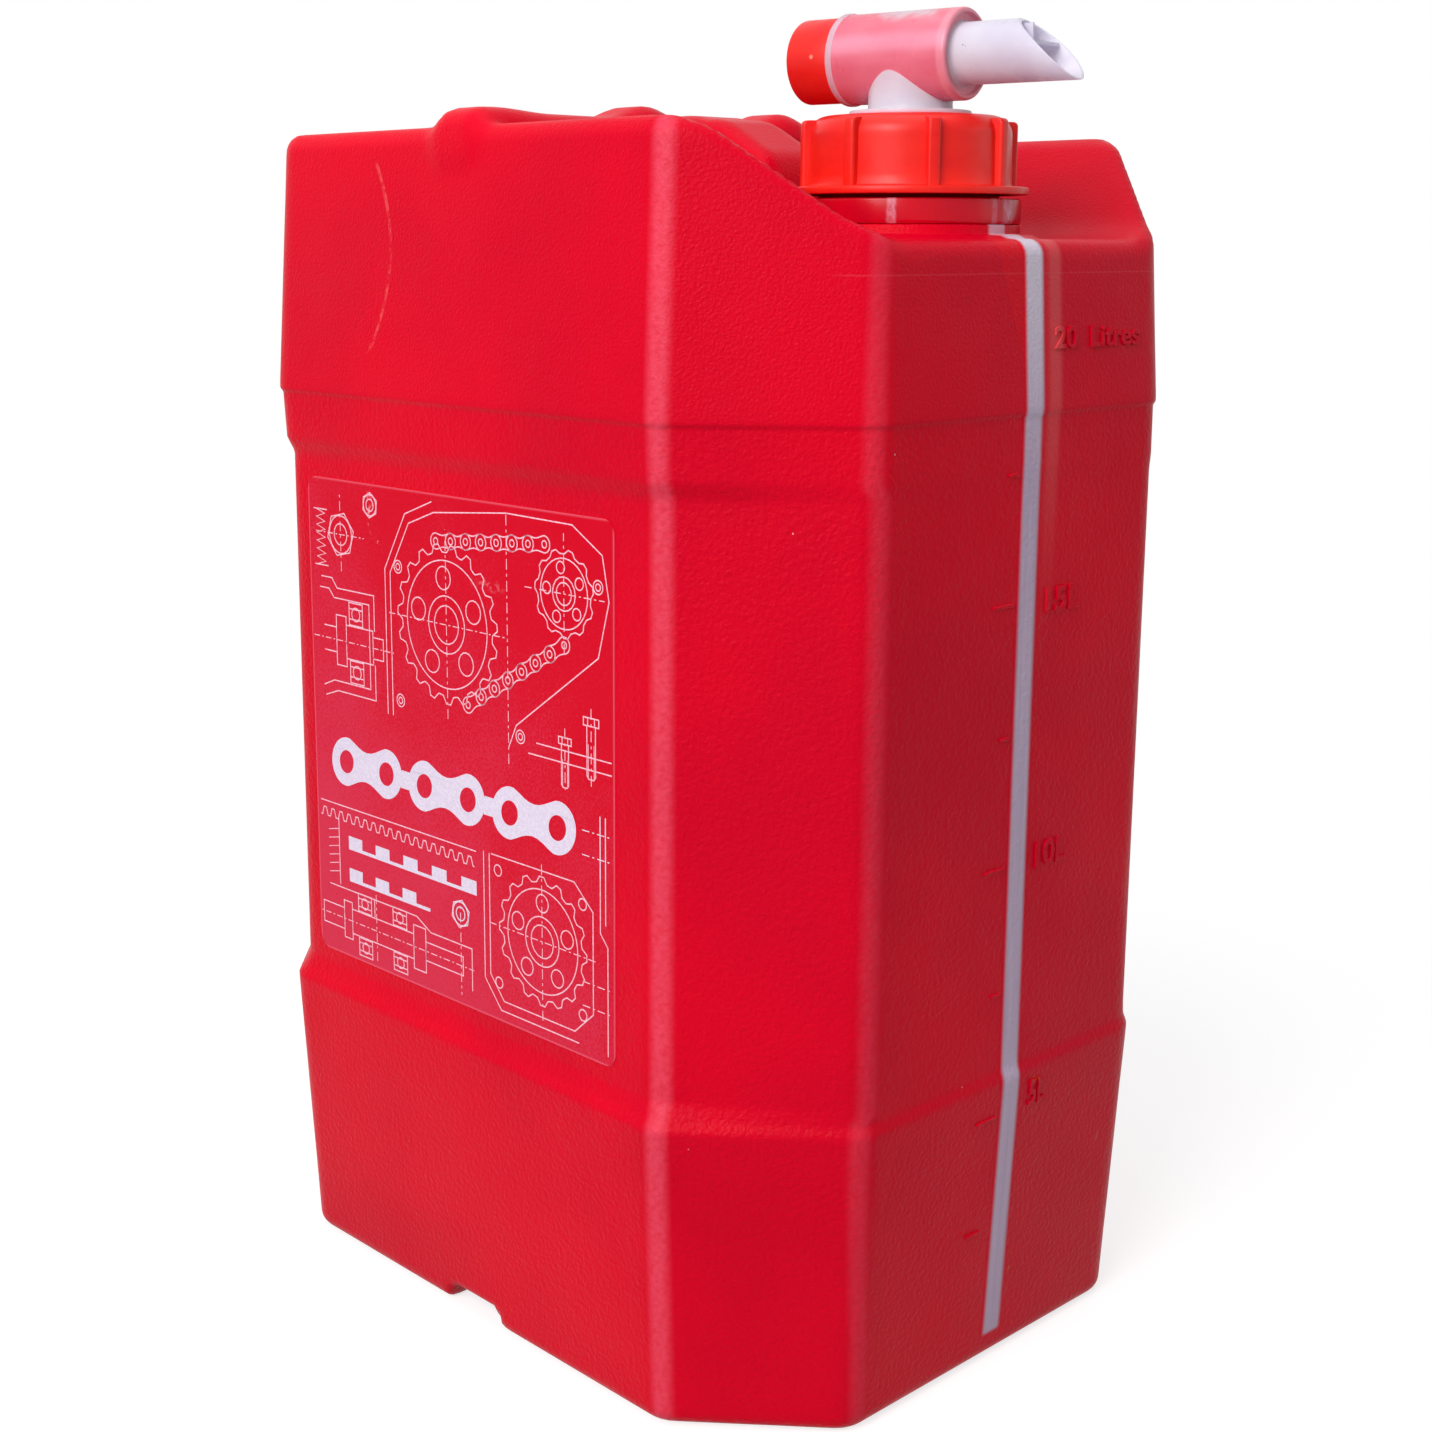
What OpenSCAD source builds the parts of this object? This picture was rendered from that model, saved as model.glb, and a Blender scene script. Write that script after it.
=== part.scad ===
// Twenty litre stacking can for chain cleaner, with a screw cap that carries a swivelling pour tap.
// Millimetres, +Z up. The origin is at the bottom centre of the whole part's bounding box.
// -Y is the strip face with the neck above it, -X is the face with the label.

/* [Can] */
// Width across the two side faces
can_w = 229; // [221:1:242]
// Depth from the strip face to the back
can_d = 292.5; // [282:0.5:312]
// Height of the flank crests above the base
crest_h = 410; // [400:1:428]
// Wall thickness of the blown can
wall = 2; // [1.6:0.1:2.6]
// Leg of each corner chamfer along the width
corner_x = 44.5; // [36:0.5:48]
// Leg of each corner chamfer along the depth
corner_y = 49; // [40:0.5:54]
// Radius of the upright edges
edge_r = 13; // [9:0.5:16]
// Radius of the bottom edge
base_r = 5; // [4:0.5:8]
// Radius of the outer top edge
top_r = 9; // [6:0.5:10]

/* [Bands] */
// Height of the ridge between the lower band and the label panels
ridge_h = 102; // [94:1:108]
// How far the lower band draws in at the base
base_taper = 5.5; // [3:0.5:7]
// Depth of the two side panels
panel_depth = 3.6; // [2:0.2:4.4]
// Height where the side panels end
panel_top = 303; // [299:0.5:308]
// Height from there to the line under the upper band
line_gap = 18.5; // [15:0.5:22]
// How far the upper band leans in at the crests
top_lean = 5; // [3:0.5:6]

/* [Top pocket] */
// How far the shelf with the neck lies below the crests
shelf_drop = 35.8; // [33:0.1:38]
// Width of each flank, from the side face to the foot of its slope
flank_w = 47.5; // [45:0.5:51]
// Slope of the flanks above the shelf, in degrees
flank_angle = 46; // [43:1:50]
// Rounding of the inner crest edges
crest_r = 8; // [5:0.5:9]
// Rounding of the shelf's front edge
shelf_r = 10; // [6:0.5:12]
// Depth of the finger pocket below the shelf
dip_drop = 22; // [14:1:26]

/* [Handle] */
// Thickness of the grip bar from front to back
grip_w = 28; // [24:1:32]
// Height of the grip bar's section
grip_t = 20.5; // [18:0.5:23]
// How far the grip's saddles rise above the crests
grip_rise = 3.7; // [2:0.1:5]
// Extra rise of the two humps on the grip
hump_rise = 4.2; // [1:0.2:5]
// Distance of each hump from the middle
hump_x = 33; // [28:1:38]
// Width of the spine from the grip towards the neck
spine_w = 34; // [28:1:38]

/* [Base] */
// Depth of the stacking groove across the base
groove_h = 8; // [5:0.5:10]
// Depth of the flat recess inside the base rim
base_recess = 3; // [2:0.5:4]
// Width of the base rim
base_rim = 24; // [18:1:30]

/* [Neck] */
// Distance of the neck axis behind the strip face
neck_setback = 51.3; // [49:0.1:53]
// Outer radius of the neck below its thread
neck_r = 28.8; // [28:0.1:29.4]
// Bore radius of the neck
bore_r = 26.2; // [24:0.1:26.6]
// Height of the neck above the shelf
neck_h = 33.1; // [33:0.1:36]
// Radius of the round step at the neck's foot
foot_r = 40.7; // [39.6:0.1:41.6]
// Radius of the ledge under the tamper ring
ledge_r = 35.7; // [35:0.1:36.4]

/* [Cap] */
// Radius over the grip ribs
cap_rib_r = 35; // [34.4:0.1:36]
// Radius of the skirt between the ribs
cap_r = 33; // [32.6:0.1:33.6]
// Number of grip ribs
cap_ribs = 8; // [6:1:12]
// Width of a grip rib
rib_w = 4; // [3:0.2:5]
// Radius of the cap's lower flange
flange_r = 38.2; // [37:0.1:39.4]
// Height of the cap
cap_h = 24.4; // [24:0.1:24.8]
// Rounding of the cap's top edge
cap_edge_r = 6; // [4:0.5:7]
// Radius of the ring left on the neck
tamper_r = 35.9; // [35.2:0.1:36.6]

/* [Tap] */
// Turn of the spout away from straight ahead, in degrees
tap_turn = 7.7; // [0:0.1:20]
// Height of the barrel axis above the cap
tap_rise = 18.4; // [17.5:0.1:20]
// Outer radius of the tap's barrel
barrel_r = 14.1; // [13.9:0.05:14.6]
// Length of the barrel from the stem axis to its spout end
barrel_front = 20.4; // [19:0.2:22]
// Length of the barrel from the stem axis to its knob end
barrel_back = 23.5; // [22:0.5:26]
// Length of the knob
knob_l = 16; // [12:0.5:20]
// Radius of the spout
spout_r = 9.5; // [9:0.1:10]
// Distance from the stem axis to the lower lip of the spout
spout_tip = 59.8; // [55:0.1:64]

/* [Label] */
// Gap between the label and the front chamfer
label_front = 19.75; // [16:0.25:28]
// Gap between the label and the rear chamfer
label_back = 11.75; // [8:0.25:20]
// Gap between the label and the ridge under its panel
label_low = 14.5; // [11:0.5:22]
// Gap between the label and the top of its panel
label_high = 11.5; // [8:0.5:20]
// Radius of the label's corners
label_r = 5; // [2:0.5:8]

/* [Hidden] */
$fn = 72;
A = can_w / 2;
B = can_d / 2;
line_h = panel_top + line_gap;
shelf_half = A - flank_w;
shelf_h = crest_h - shelf_drop;
dip_h = shelf_h - dip_drop;
neck_y = -(B - neck_setback);
rim_z = shelf_h + neck_h;

// The cap stands on the neck through its gasket
gasket_t = 2;
cap_in_z = rim_z + gasket_t;
cap_top_t = 3;
cap_z = cap_in_z + cap_top_t;
cap_bottom = cap_z - cap_h;
flange_t = 2.4;
stem_r = 13.4;
tap_foot_r = stem_r + 6;
stem_bore_r = 11;
stem_hole_r = stem_r + 0.4;
tap_z = cap_z + tap_rise;
plug_r = barrel_r - 2.1;
chamber_r = plug_r + 0.05;
chamber_front = barrel_front - 3;
spout_bore_r = spout_r - 1.5;
spout_rake = 2 * spout_r * 1.08;
port_r = 7.5;
knob_r = barrel_r - 0.7;
foot_t = 1.3;
neck_ring_z = shelf_h + foot_t + 3.2;
ring_h = 7.9;

// Reach of the spout's lip in front of the middle of the can, which sets the origin's place
cut_mid = spout_tip - spout_rake / 2;
lip_reach = cos(tap_turn) * cut_mid
    + sqrt(pow(cos(tap_turn) * spout_rake / 2, 2) + pow(sin(tap_turn) * spout_r, 2));
shift_y = max(0, (lip_reach - neck_setback) / 2);

function unit(v) = v / norm(v);
function bell(u) = abs(u) < 1 ? (1 + cos(180 * u)) / 2 : 0;

// A closed outline with every corner rounded by r in n steps, for outlines that run anticlockwise
function rounded(pts, r, n) = [
    for (i = [0 : len(pts) - 1])
        let (v = pts[i],
             u = unit(pts[(i + len(pts) - 1) % len(pts)] - v),
             w = unit(pts[(i + 1) % len(pts)] - v),
             half = acos(u * w) / 2,
             c = v + unit(u + w) * r / sin(half),
             t = v + u * r / tan(half) - c,
             a = atan2(t[1], t[0]))
        for (k = [0 : n]) c + r * [cos(a + (180 - 2 * half) * k / n), sin(a + (180 - 2 * half) * k / n)]
];

// Points of an arc round c from angle a to angle b
function arc(c, r, a, b, n) = [for (k = [0 : n]) c + r * [cos(a + (b - a) * k / n), sin(a + (b - a) * k / n)]];

// The can's plan as an octagon: sx and sy draw in the side and end faces, ky and kx the chamfer's ends
function plan(sx, sy, ky, kx) =
    let (x0 = A - corner_x - kx, x1 = A - sx, y0 = B - corner_y - ky, y1 = B - sy)
    [[x0, -y1], [x1, -y0], [x1, y0], [x0, y1], [-x0, y1], [-x1, y0], [-x1, -y0], [-x0, -y1]];

// A level of the can drawn in by s all round
function level(z, s) = [z, s, s, 0.39 * s, 0.44 * s];

function lean_low(z) = base_taper * (1 - z / ridge_h);
function lean_high(z) = top_lean * (z - line_h) / (crest_h - line_h);

// Levels of the can's skin, drawn in by g for the inside
function skin(g, floor_z, top_z) = concat(
    [for (a = [0, 30, 60, 90]) let (r = base_r - g, z = floor_z + r * (1 - cos(a)))
        level(z, g + lean_low(z) + r * (1 - sin(a)))],
    [level(ridge_h - 2, g + 0.1), level(ridge_h + 1, g)],
    [[ridge_h + 4, g + 2, g + 1.1, 1.2 + 0.39 * g, 0.4 + 0.44 * g],
     [ridge_h + 9, g + panel_depth, g + 1.1, 3 + 0.39 * g, 0.5 + 0.44 * g],
     [panel_top - 4, g + panel_depth, g + 0.8, 3 + 0.39 * g, 0.4 + 0.44 * g],
     [panel_top + 1, g + 1.6, g + 0.6, 1.2 + 0.39 * g, 0.3 + 0.44 * g],
     [line_h - 2.5, g + 0.7, g + 0.5, 0.4 + 0.39 * g, 0.2 + 0.44 * g]],
    [level(line_h, g), level(line_h + 3, g + 0.1)],
    [for (a = [90, 60, 30, 0]) let (r = top_r - g, z = top_z - r * (1 - cos(a)))
        level(z, g + lean_high(z) + r * (1 - sin(a)))]);

// A closed solid through rounded outlines at the given levels
module loft(levels, r, n) {
    rings = [for (l = levels) [for (p = rounded(plan(l[1], l[2], l[3], l[4]), r, n)) [p[0], p[1], l[0]]]];
    m = len(rings[0]);
    k = len(rings);
    polyhedron(
        points = [for (g = rings) for (p = g) p],
        faces = concat(
            [[for (i = [0 : m - 1]) i]],
            [for (j = [0 : k - 2]) for (i = [0 : m - 1]) let (a = j * m + i, b = j * m + (i + 1) % m)
                each [[a, a + m, b + m], [a, b + m, b]]],
            [[for (i = [m - 1 : -1 : 0]) (k - 1) * m + i]]),
        convexity = 4);
}

// A prism along X from an outline in Y and Z, and one along Y from an outline in X and Z
module x_prism(pts, half) { rotate([90, 0, 90]) linear_extrude(2 * half, center = true) polygon(pts); }
module y_prism(pts, half) { rotate([90, 0, 0]) linear_extrude(2 * half, center = true) polygon(pts); }

// Half width between the flanks at height z, with the flanks thinned by g
function flank_x(z, g) = shelf_half + (z - shelf_h) / tan(flank_angle) + g / sin(flank_angle);

// The rounded inner crest edge, as points from the slope to the level top
function crest_edge(x, angle) =
    let (t = crest_r * tan(angle / 2))
    arc([x + t, crest_h - crest_r], crest_r, 90 + angle, 90, 4);

// Open space between the flanks
module flank_space(g) {
    low = dip_h - 30;
    side = g > 0 ? [[flank_x(low, g), low], [flank_x(crest_h + 30, g), crest_h + 30]]
                 : concat([[flank_x(low, 0), low]], crest_edge(flank_x(crest_h, 0), flank_angle),
                          [[flank_x(crest_h, 0) + 4, crest_h + 30]]);
    y_prism(concat([for (p = side) p], [for (i = [len(side) - 1 : -1 : 0]) [-side[i][0], side[i][1]]]), B + 30);
}

// Open space above the shelf, the finger pocket and the slope up to the rear deck
front_slope = 56;
rear_slope = 38;
shelf_back = neck_y + 43;
dip_front = shelf_back + dip_drop / tan(front_slope);
dip_back = grip_w / 2 + 22;
function front_y(z, g) = dip_front - (z - dip_h) / tan(front_slope) - g / sin(front_slope);
function rear_y(z, g) = dip_back + (z - dip_h) / tan(rear_slope) + g / sin(rear_slope);
module shelf_space(g) {
    rear = g > 0 ? [[rear_y(crest_h + 30, g), crest_h + 30]]
                 : concat(crest_edge(rear_y(crest_h, 0), rear_slope), [[rear_y(crest_h, 0) + 4, crest_h + 30]]);
    x_prism(concat([[-B - 30, shelf_h - g], [front_y(shelf_h - g, g), shelf_h - g],
                    [front_y(dip_h - g, g), dip_h - g], [rear_y(dip_h - g, g), dip_h - g]],
                   rear, [[-B - 30, crest_h + 30]]), A + 30);
}

// Space outside the rounded front edge of the shelf
module shelf_edge_space(g) {
    y0 = -B + lean_high(shelf_h - shelf_r) + shelf_r;
    z0 = shelf_h - shelf_r;
    r = shelf_r - g;
    x_prism(concat([[-B - 20, z0]], arc([y0, z0], r, 180, 90, 6), [[y0, shelf_h + 2], [-B - 20, shelf_h + 2]]),
            A - corner_x + 0.3);
}

module pocket(g) {
    intersection() {
        flank_space(g);
        shelf_space(g);
    }
    shelf_edge_space(g);
}

// The grip bar across the pocket, made smaller by g for its hollow
grip_z = crest_h + grip_rise;
grip_end = A - top_lean + 0.6;
function grip_top(x) = grip_z + hump_rise * bell((abs(x) - hump_x) / 17) + 1.3 * bell((abs(x) - grip_end + 13) / 24);
module grip(g) {
    under = grip_z - grip_t + g;
    xe = grip_end - g;
    side = [for (x = [0 : 6 : xe - 10]) [x, grip_top(x) - g]];
    end = arc([xe - 8, grip_top(xe - 8) - g - 8], 8, 90, 0, 3);
    half = concat(side, end, [[xe, under]]);
    yw = grip_w / 2 - g;
    intersection() {
        y_prism(concat(half, [for (i = [len(half) - 1 : -1 : 1]) [-half[i][0], half[i][1]]]), grip_w);
        x_prism(rounded([[-yw, under], [yw, under], [yw, grip_z + 6 - g], [-yw, grip_z + 6 - g]], 9 - g, 4), A);
    }
}

// The spine from the grip down to the neck
spine_front = neck_y + 45;
module spine(g) {
    f = spine_front + g;
    top = grip_z + 0.7 - g;
    x = spine_w / 2 - g;
    deep = dip_h - 8 - 2 * g;
    intersection() {
        x_prism([[0, deep], [0, top], [-18, top], [-24, top - 1.2], [-34, top - 6.5], [f + 6, top - 12],
                 [f + 2, top - 17], [f, top - 24], [f, deep]], A);
        y_prism(rounded([[-x, deep], [x, deep], [x, top + 0.1], [-x, top + 0.1]], 8 - g, 3), B);
    }
}

// The stacking groove across the base
module groove(g) {
    w = grip_w / 2 + 1.5 + g;
    x_prism([[-w - 1, -5], [w + 1, -5], [w, 1], [w - 2.5, groove_h - 2 + g], [w - 5, groove_h + g],
             [5 - w, groove_h + g], [2.5 - w, groove_h - 2 + g], [-w, 1]], A + 10);
}

module neck_axis() { translate([0, neck_y, 0]) children(); }

// Outline of the strip across the front wall, in Y and Z: from the base over the shelf's edge
strip_w = 11;
strip_x = 2.3;
strip_z = 9;
// The block reaches e past the wall on either side, so that the slot for the strip is cut cleanly
module strip_block(e) {
    outer = [for (l = skin(0, 0, crest_h)) if (l[0] > strip_z && l[0] < shelf_h - shelf_r) [-B + l[2] - e, l[0]]];
    inner = [for (l = skin(wall, base_recess + wall, crest_h - wall))
        if (l[0] > strip_z + 3 && l[0] < shelf_h - shelf_r) [-B + l[2] + e, l[0]]];
    y0 = -B + lean_high(shelf_h - shelf_r) + shelf_r;
    z0 = shelf_h - shelf_r;
    o = concat([[-B + lean_low(strip_z) - e, strip_z]], outer, arc([y0, z0], shelf_r + e, 180, 90, 6));
    i = concat([[-B + lean_low(strip_z) + wall + e, strip_z]], inner,
               arc([y0, z0], shelf_r - wall - e, 180, 90, 6));
    translate([strip_x, 0, 0]) x_prism(concat(o, [for (k = [len(i) - 1 : -1 : 0]) i[k]]), strip_w / 2);
}

module outside_shape() {
    difference() {
        loft(skin(0, 0, crest_h), edge_r, 4);
        pocket(0);
        groove(0);
        translate([0, 0, -5]) linear_extrude(5 + base_recess, convexity = 4)
            polygon(rounded(plan(base_rim, base_rim, 0.4 * base_rim, 0.45 * base_rim), 10, 3));
    }
}

module inside_shape() {
    difference() {
        loft(skin(wall, base_recess + wall, crest_h - wall), edge_r - wall, 3);
        pocket(wall);
        groove(wall);
    }
    grip(wall);
    spine(wall);
}

// The real can is one blown piece. Its solid is cut at level and upright planes into simple nodes that lie
// face to face: the base, the walls, three parts of the top, the grip and the neck.
base_cut = base_recess + groove_h;
top_cut = dip_h - wall - 2.2;
module can_part(z0, z1, y0, y1) {
    color([0.86, 0.02, 0.13]) translate([0, shift_y, 0]) intersection() {
        difference() {
            outside_shape();
            inside_shape();
            neck_zone();
            strip_block(1);
        }
        translate([-A - 20, y0, z0]) cube([2 * A + 40, y1 - y0, z1 - z0]);
    }
}
// Round zone of the shelf that belongs to the neck's node
foot_low = shelf_h - 6;
module neck_zone() { neck_axis() cylinder_tube(foot_r, foot_low, shelf_h + 1); }
can_end = B + 20;
module can_base() { can_part(-20, base_cut, -can_end, can_end); }
module can_walls() { can_part(base_cut, top_cut, -can_end, can_end); }
module can_shelf() { can_part(top_cut, crest_h + 20, -can_end, shelf_back); }
module can_pocket() { can_part(top_cut, crest_h + 20, shelf_back, dip_back); }
module can_deck() { can_part(top_cut, crest_h + 20, dip_back, can_end); }

module can_grip() {
    color([0.86, 0.02, 0.13]) translate([0, shift_y, 0]) difference() {
        union() {
            grip(0);
            spine(0);
        }
        difference() {
            loft(skin(0, 0, crest_h), edge_r, 4);
            pocket(0);
        }
        inside_shape();
    }
}

module can_neck() {
    color([0.86, 0.02, 0.13]) translate([0, shift_y, 0]) difference() {
        neck_axis() {
            cylinder_tube(foot_r, foot_low, shelf_h + foot_t);
            cylinder_tube(ledge_r, shelf_h - 1, neck_ring_z);
            cylinder_tube(neck_r, shelf_h - 1, rim_z);
            cylinder_tube(neck_r + 1.8, neck_ring_z + 5, neck_ring_z + 7.4);
        }
        inside_shape();
        neck_axis() cylinder_tube(bore_r, foot_low - 1, rim_z + 1);
        strip_block(1);
    }
}

module cylinder_tube(r, z0, z1) { translate([0, 0, z0]) cylinder(r = r, h = z1 - z0); }

// See-through strip moulded into the front wall
module view_strip() {
    color([0.66, 0.60, 0.72]) translate([0, shift_y, 0]) difference() {
        strip_block(0);
        neck_axis() cylinder_tube(foot_r, foot_low, shelf_h + 5);
    }
}

// The label's outline, in Y and Z on the side panel
label_w = 2 * (B - corner_y) - label_front - label_back;
label_h = panel_top - ridge_h - label_low - label_high;
label_y = (label_front - label_back) / 2;
label_z = ridge_h + label_low + label_h / 2;
label_t = 0.3;
module on_label(t) {
    translate([-(A - panel_depth), label_y + shift_y, label_z]) rotate([90, 0, -90]) linear_extrude(t, convexity = 6)
        children();
}

module side_label() {
    color([0.88, 0.16, 0.24]) on_label(label_t)
        polygon(rounded([[-label_w / 2, -label_h / 2], [label_w / 2, -label_h / 2],
                         [label_w / 2, label_h / 2], [-label_w / 2, label_h / 2]], label_r, 4));
}

// One outer plate of a chain: two round ends joined by a waist, with its pin holes open
module chain_plate(pitch, r) {
    difference() {
        union() {
            for (s = [-1, 1]) translate([s * pitch / 2, 0]) circle(r);
            square([pitch, 1.25 * r], center = true);
        }
        for (s = [-1, 1]) translate([s * pitch / 2, 0]) circle(0.42 * r);
    }
}

// White print on the label: a row of chain plates, a sprocket and two bars
module label_print() {
    k = min(label_w / 163, label_h / 175);
    color([0.94, 0.90, 0.94]) translate([-label_t, 0, 0]) on_label(0.2) scale([k, k]) {
        for (i = [-1, 0, 1]) translate([46 * i - 4, -14]) chain_plate(24, 9);
        translate([0, 44]) difference() {
            union() {
                circle(17);
                for (i = [0 : 11]) rotate(30 * i) translate([18, 0]) square([7, 4.4], center = true);
            }
            circle(9);
        }
        translate([-62, -44]) square([74, 5]);
        translate([-62, -56]) square([48, 5]);
    }
}

// Ring left on the neck by the sealed cap, held under the neck's bead
module tamper_ring() {
    color([0.80, 0.02, 0.12]) translate([0, shift_y, neck_ring_z]) neck_axis() rotate_extrude()
        polygon([[neck_r + 0.4, 0], [tamper_r - 0.7, 0], [tamper_r, 0.8], [tamper_r, ring_h - 0.5],
                 [tamper_r - 0.5, ring_h], [neck_r + 2.6, ring_h], [neck_r + 2.6, 3], [neck_r + 0.4, 3]]);
}

module screw_cap() {
    color([0.94, 0.16, 0.10]) translate([0, shift_y, 0]) neck_axis() difference() {
        union() {
            rotate_extrude() polygon(concat(
                [[0, cap_bottom], [flange_r, cap_bottom], [flange_r, cap_bottom + flange_t],
                 [cap_r, cap_bottom + flange_t]],
                arc([cap_r - cap_edge_r, cap_z - cap_edge_r], cap_edge_r, 0, 90, 5), [[0, cap_z]]));
            intersection() {
                for (i = [0 : cap_ribs - 1]) rotate(tap_turn + 360 * i / cap_ribs)
                    translate([0, -cap_rib_r / 2 - 8, cap_bottom + 1])
                        linear_extrude(cap_h - 2.4) square([rib_w, cap_rib_r], center = true);
                rotate_extrude() polygon([[cap_r - 8, cap_bottom], [cap_rib_r, cap_bottom], [cap_rib_r, cap_z - 4],
                    [cap_rib_r - 1.2, cap_z - 2], [cap_r - 3, cap_z - 1.4], [cap_r - 8, cap_z - 1.4]]);
            }
        }
        cylinder_tube(neck_r + 1.8, cap_bottom - 1, cap_in_z);
        cylinder_tube(stem_hole_r, cap_in_z - 1, cap_z + 1);
    }
}

module cap_gasket() {
    color([0.85, 0.83, 0.78]) translate([0, shift_y, rim_z]) neck_axis() difference() {
        cylinder(r = neck_r + 1.2, h = gasket_t);
        translate([0, 0, -1]) cylinder(r = bore_r - 2.6, h = gasket_t + 2);
    }
}

// Places what follows with the barrel's axis along -Y of the tap
module tap_axis() { translate([0, neck_y + shift_y, tap_z]) rotate([0, 0, tap_turn]) children(); }
module along(y0, y1, r) { translate([0, y0, 0]) rotate([90, 0, 0]) cylinder(r = r, h = y0 - y1); }

module tap_body() {
    low = cap_in_z - tap_z - 5;
    color([0.93, 0.62, 0.70]) tap_axis() difference() {
        union() {
            along(barrel_back, -barrel_front, barrel_r);
            along(barrel_back, barrel_back - 2, barrel_r + 0.4);
            along(-barrel_front + 4, -spout_tip - 1, spout_r);
            cylinder_tube(stem_r, low, 0);
            translate([0, 0, -tap_rise + 0.2]) cylinder(r = tap_foot_r, h = 1.5);
            translate([0, 0, cap_in_z - tap_z - 2.2]) cylinder(r1 = stem_r, r2 = stem_r + 1.2, h = 2);
        }
        along(barrel_back + 1, -chamber_front, chamber_r);
        // Stem bore, which opens into the chamber, and the spout's bore on either side of its web
        translate([0, 0, low - 1]) cylinder(r = stem_bore_r, h = -low + 1);
        difference() {
            along(-chamber_front + 1, -spout_tip - 5, spout_bore_r);
            translate([-spout_r, -spout_tip - 5, 1.2]) cube([2 * spout_r, spout_tip + 5 - barrel_front + 1, 1.1]);
        }
        // Ring-shaped dish round the spout's root
        difference() {
            along(-barrel_front + 1.4, -barrel_front - 1, barrel_r - 1.5);
            along(-barrel_front + 3, -barrel_front - 2, spout_r + 0.4);
        }
        // Slanted mouth
        x_prism([[-spout_tip - 1.08 * 12, -12 - spout_r], [-spout_tip + spout_rake + 1.08 * 12, spout_r + 12],
                 [-spout_tip - 40, spout_r + 12], [-spout_tip - 40, -12 - spout_r]], 20);
    }
}

// Turning plug with its knob: the port in its wall faces up while the tap is closed
module valve_plug() {
    back = barrel_back + 0.2;
    color([0.90, 0.05, 0.12]) tap_axis() difference() {
        union() {
            along(back, -chamber_front + 0.2, plug_r);
            rotate([90, 0, 0]) rotate_extrude() polygon([[0, -back], [knob_r, -back], [knob_r, -back - knob_l + 2],
                [knob_r - 0.6, -back - knob_l + 0.6], [knob_r - 2, -back - knob_l], [0, -back - knob_l]]);
        }
        along(12, -chamber_front - 1, plug_r - 2);
        translate([0, 0, plug_r - 5]) cylinder(r = port_r, h = 10);
        along(back + knob_l + 1, back + 3, knob_r - 2.4);
    }
}

can_base();
can_walls();
can_shelf();
can_pocket();
can_deck();
can_grip();
can_neck();
view_strip();
side_label();
label_print();
tamper_ring();
screw_cap();
cap_gasket();
tap_body();
valve_plug();
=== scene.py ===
"""Dressed model of a twenty litre stacking can with a ribbed screw cap and a swivelling pour tap.

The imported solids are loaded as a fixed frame. Each sub-assembly is a class that builds its meshes in the
can's own millimetres and dresses them. The can, cap, tap and plug stand for the solids that they replace.
"""

from __future__ import annotations

import logging
from dataclasses import dataclass, field
from enum import Enum
from math import (atan2, ceil, copysign, cos, dist, exp, hypot, pi, radians, sin, sqrt, tan, tau)
from typing import Callable, Iterable, Sequence

import bmesh
import bpy
import numpy as np
from mathutils import Matrix, Vector, geometry


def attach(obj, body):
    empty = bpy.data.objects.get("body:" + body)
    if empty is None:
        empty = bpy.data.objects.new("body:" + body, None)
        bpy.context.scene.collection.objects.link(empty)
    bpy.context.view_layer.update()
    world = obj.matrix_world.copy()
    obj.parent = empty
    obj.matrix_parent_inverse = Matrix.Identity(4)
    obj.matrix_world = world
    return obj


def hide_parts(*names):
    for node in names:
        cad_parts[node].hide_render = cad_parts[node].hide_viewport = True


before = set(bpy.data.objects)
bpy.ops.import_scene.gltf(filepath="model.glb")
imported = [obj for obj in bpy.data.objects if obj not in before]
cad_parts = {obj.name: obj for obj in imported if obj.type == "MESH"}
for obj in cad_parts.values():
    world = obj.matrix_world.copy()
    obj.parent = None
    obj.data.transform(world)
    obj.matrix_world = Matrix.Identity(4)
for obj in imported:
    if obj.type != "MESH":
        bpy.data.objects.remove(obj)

LOG = logging.getLogger("can_scene")
MM = 0.001
SHIFT_Y = 4.02
NECK_AXIS = (0.0, -94.95 + SHIFT_Y)
CAN_NODES = ("can_base", "can_walls", "can_shelf", "can_pocket", "can_deck", "can_grip", "can_neck")
Points = np.ndarray
Pair = tuple[float, float]
Spot = tuple[float, float, float]
Shape = tuple[list, list]
Material = bpy.types.Material
Object = bpy.types.Object
Socket = bpy.types.NodeSocket
Profile = Sequence[Pair]


class Body(str, Enum):
    """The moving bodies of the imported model."""

    CAN = "can"
    CARRIER = "cap_carrier"
    CAP = "cap"
    TAP = "tap"
    VALVE = "valve"


# Meshes


def mesh_object(name: str, verts: Iterable[Sequence[float]], faces: Iterable[Sequence[int]],
        sharp: float = 35.0) -> Object:
    """Makes a smooth-shaded mesh object from millimetre points.

    Args:
        name: The piece's name.
        verts: Points in the part's frame, in millimetres.
        faces: Vertex indices of each face.
        sharp: Edges sharper than this many degrees stay crisp.

    Returns:
        The linked object.
    """
    mesh = bpy.data.meshes.new(name)
    mesh.from_pydata((np.asarray(list(verts), float) * MM).tolist(), [], [list(f) for f in faces])
    mesh.validate()
    mesh.shade_smooth()
    mesh.set_sharp_from_angle(angle=radians(sharp))
    return linked(name, mesh)


def linked(name: str, data: bpy.types.ID) -> Object:
    """Makes an object of some data and puts it in the scene."""
    obj = bpy.data.objects.new(name, data)
    bpy.context.scene.collection.objects.link(obj)
    return obj


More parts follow.
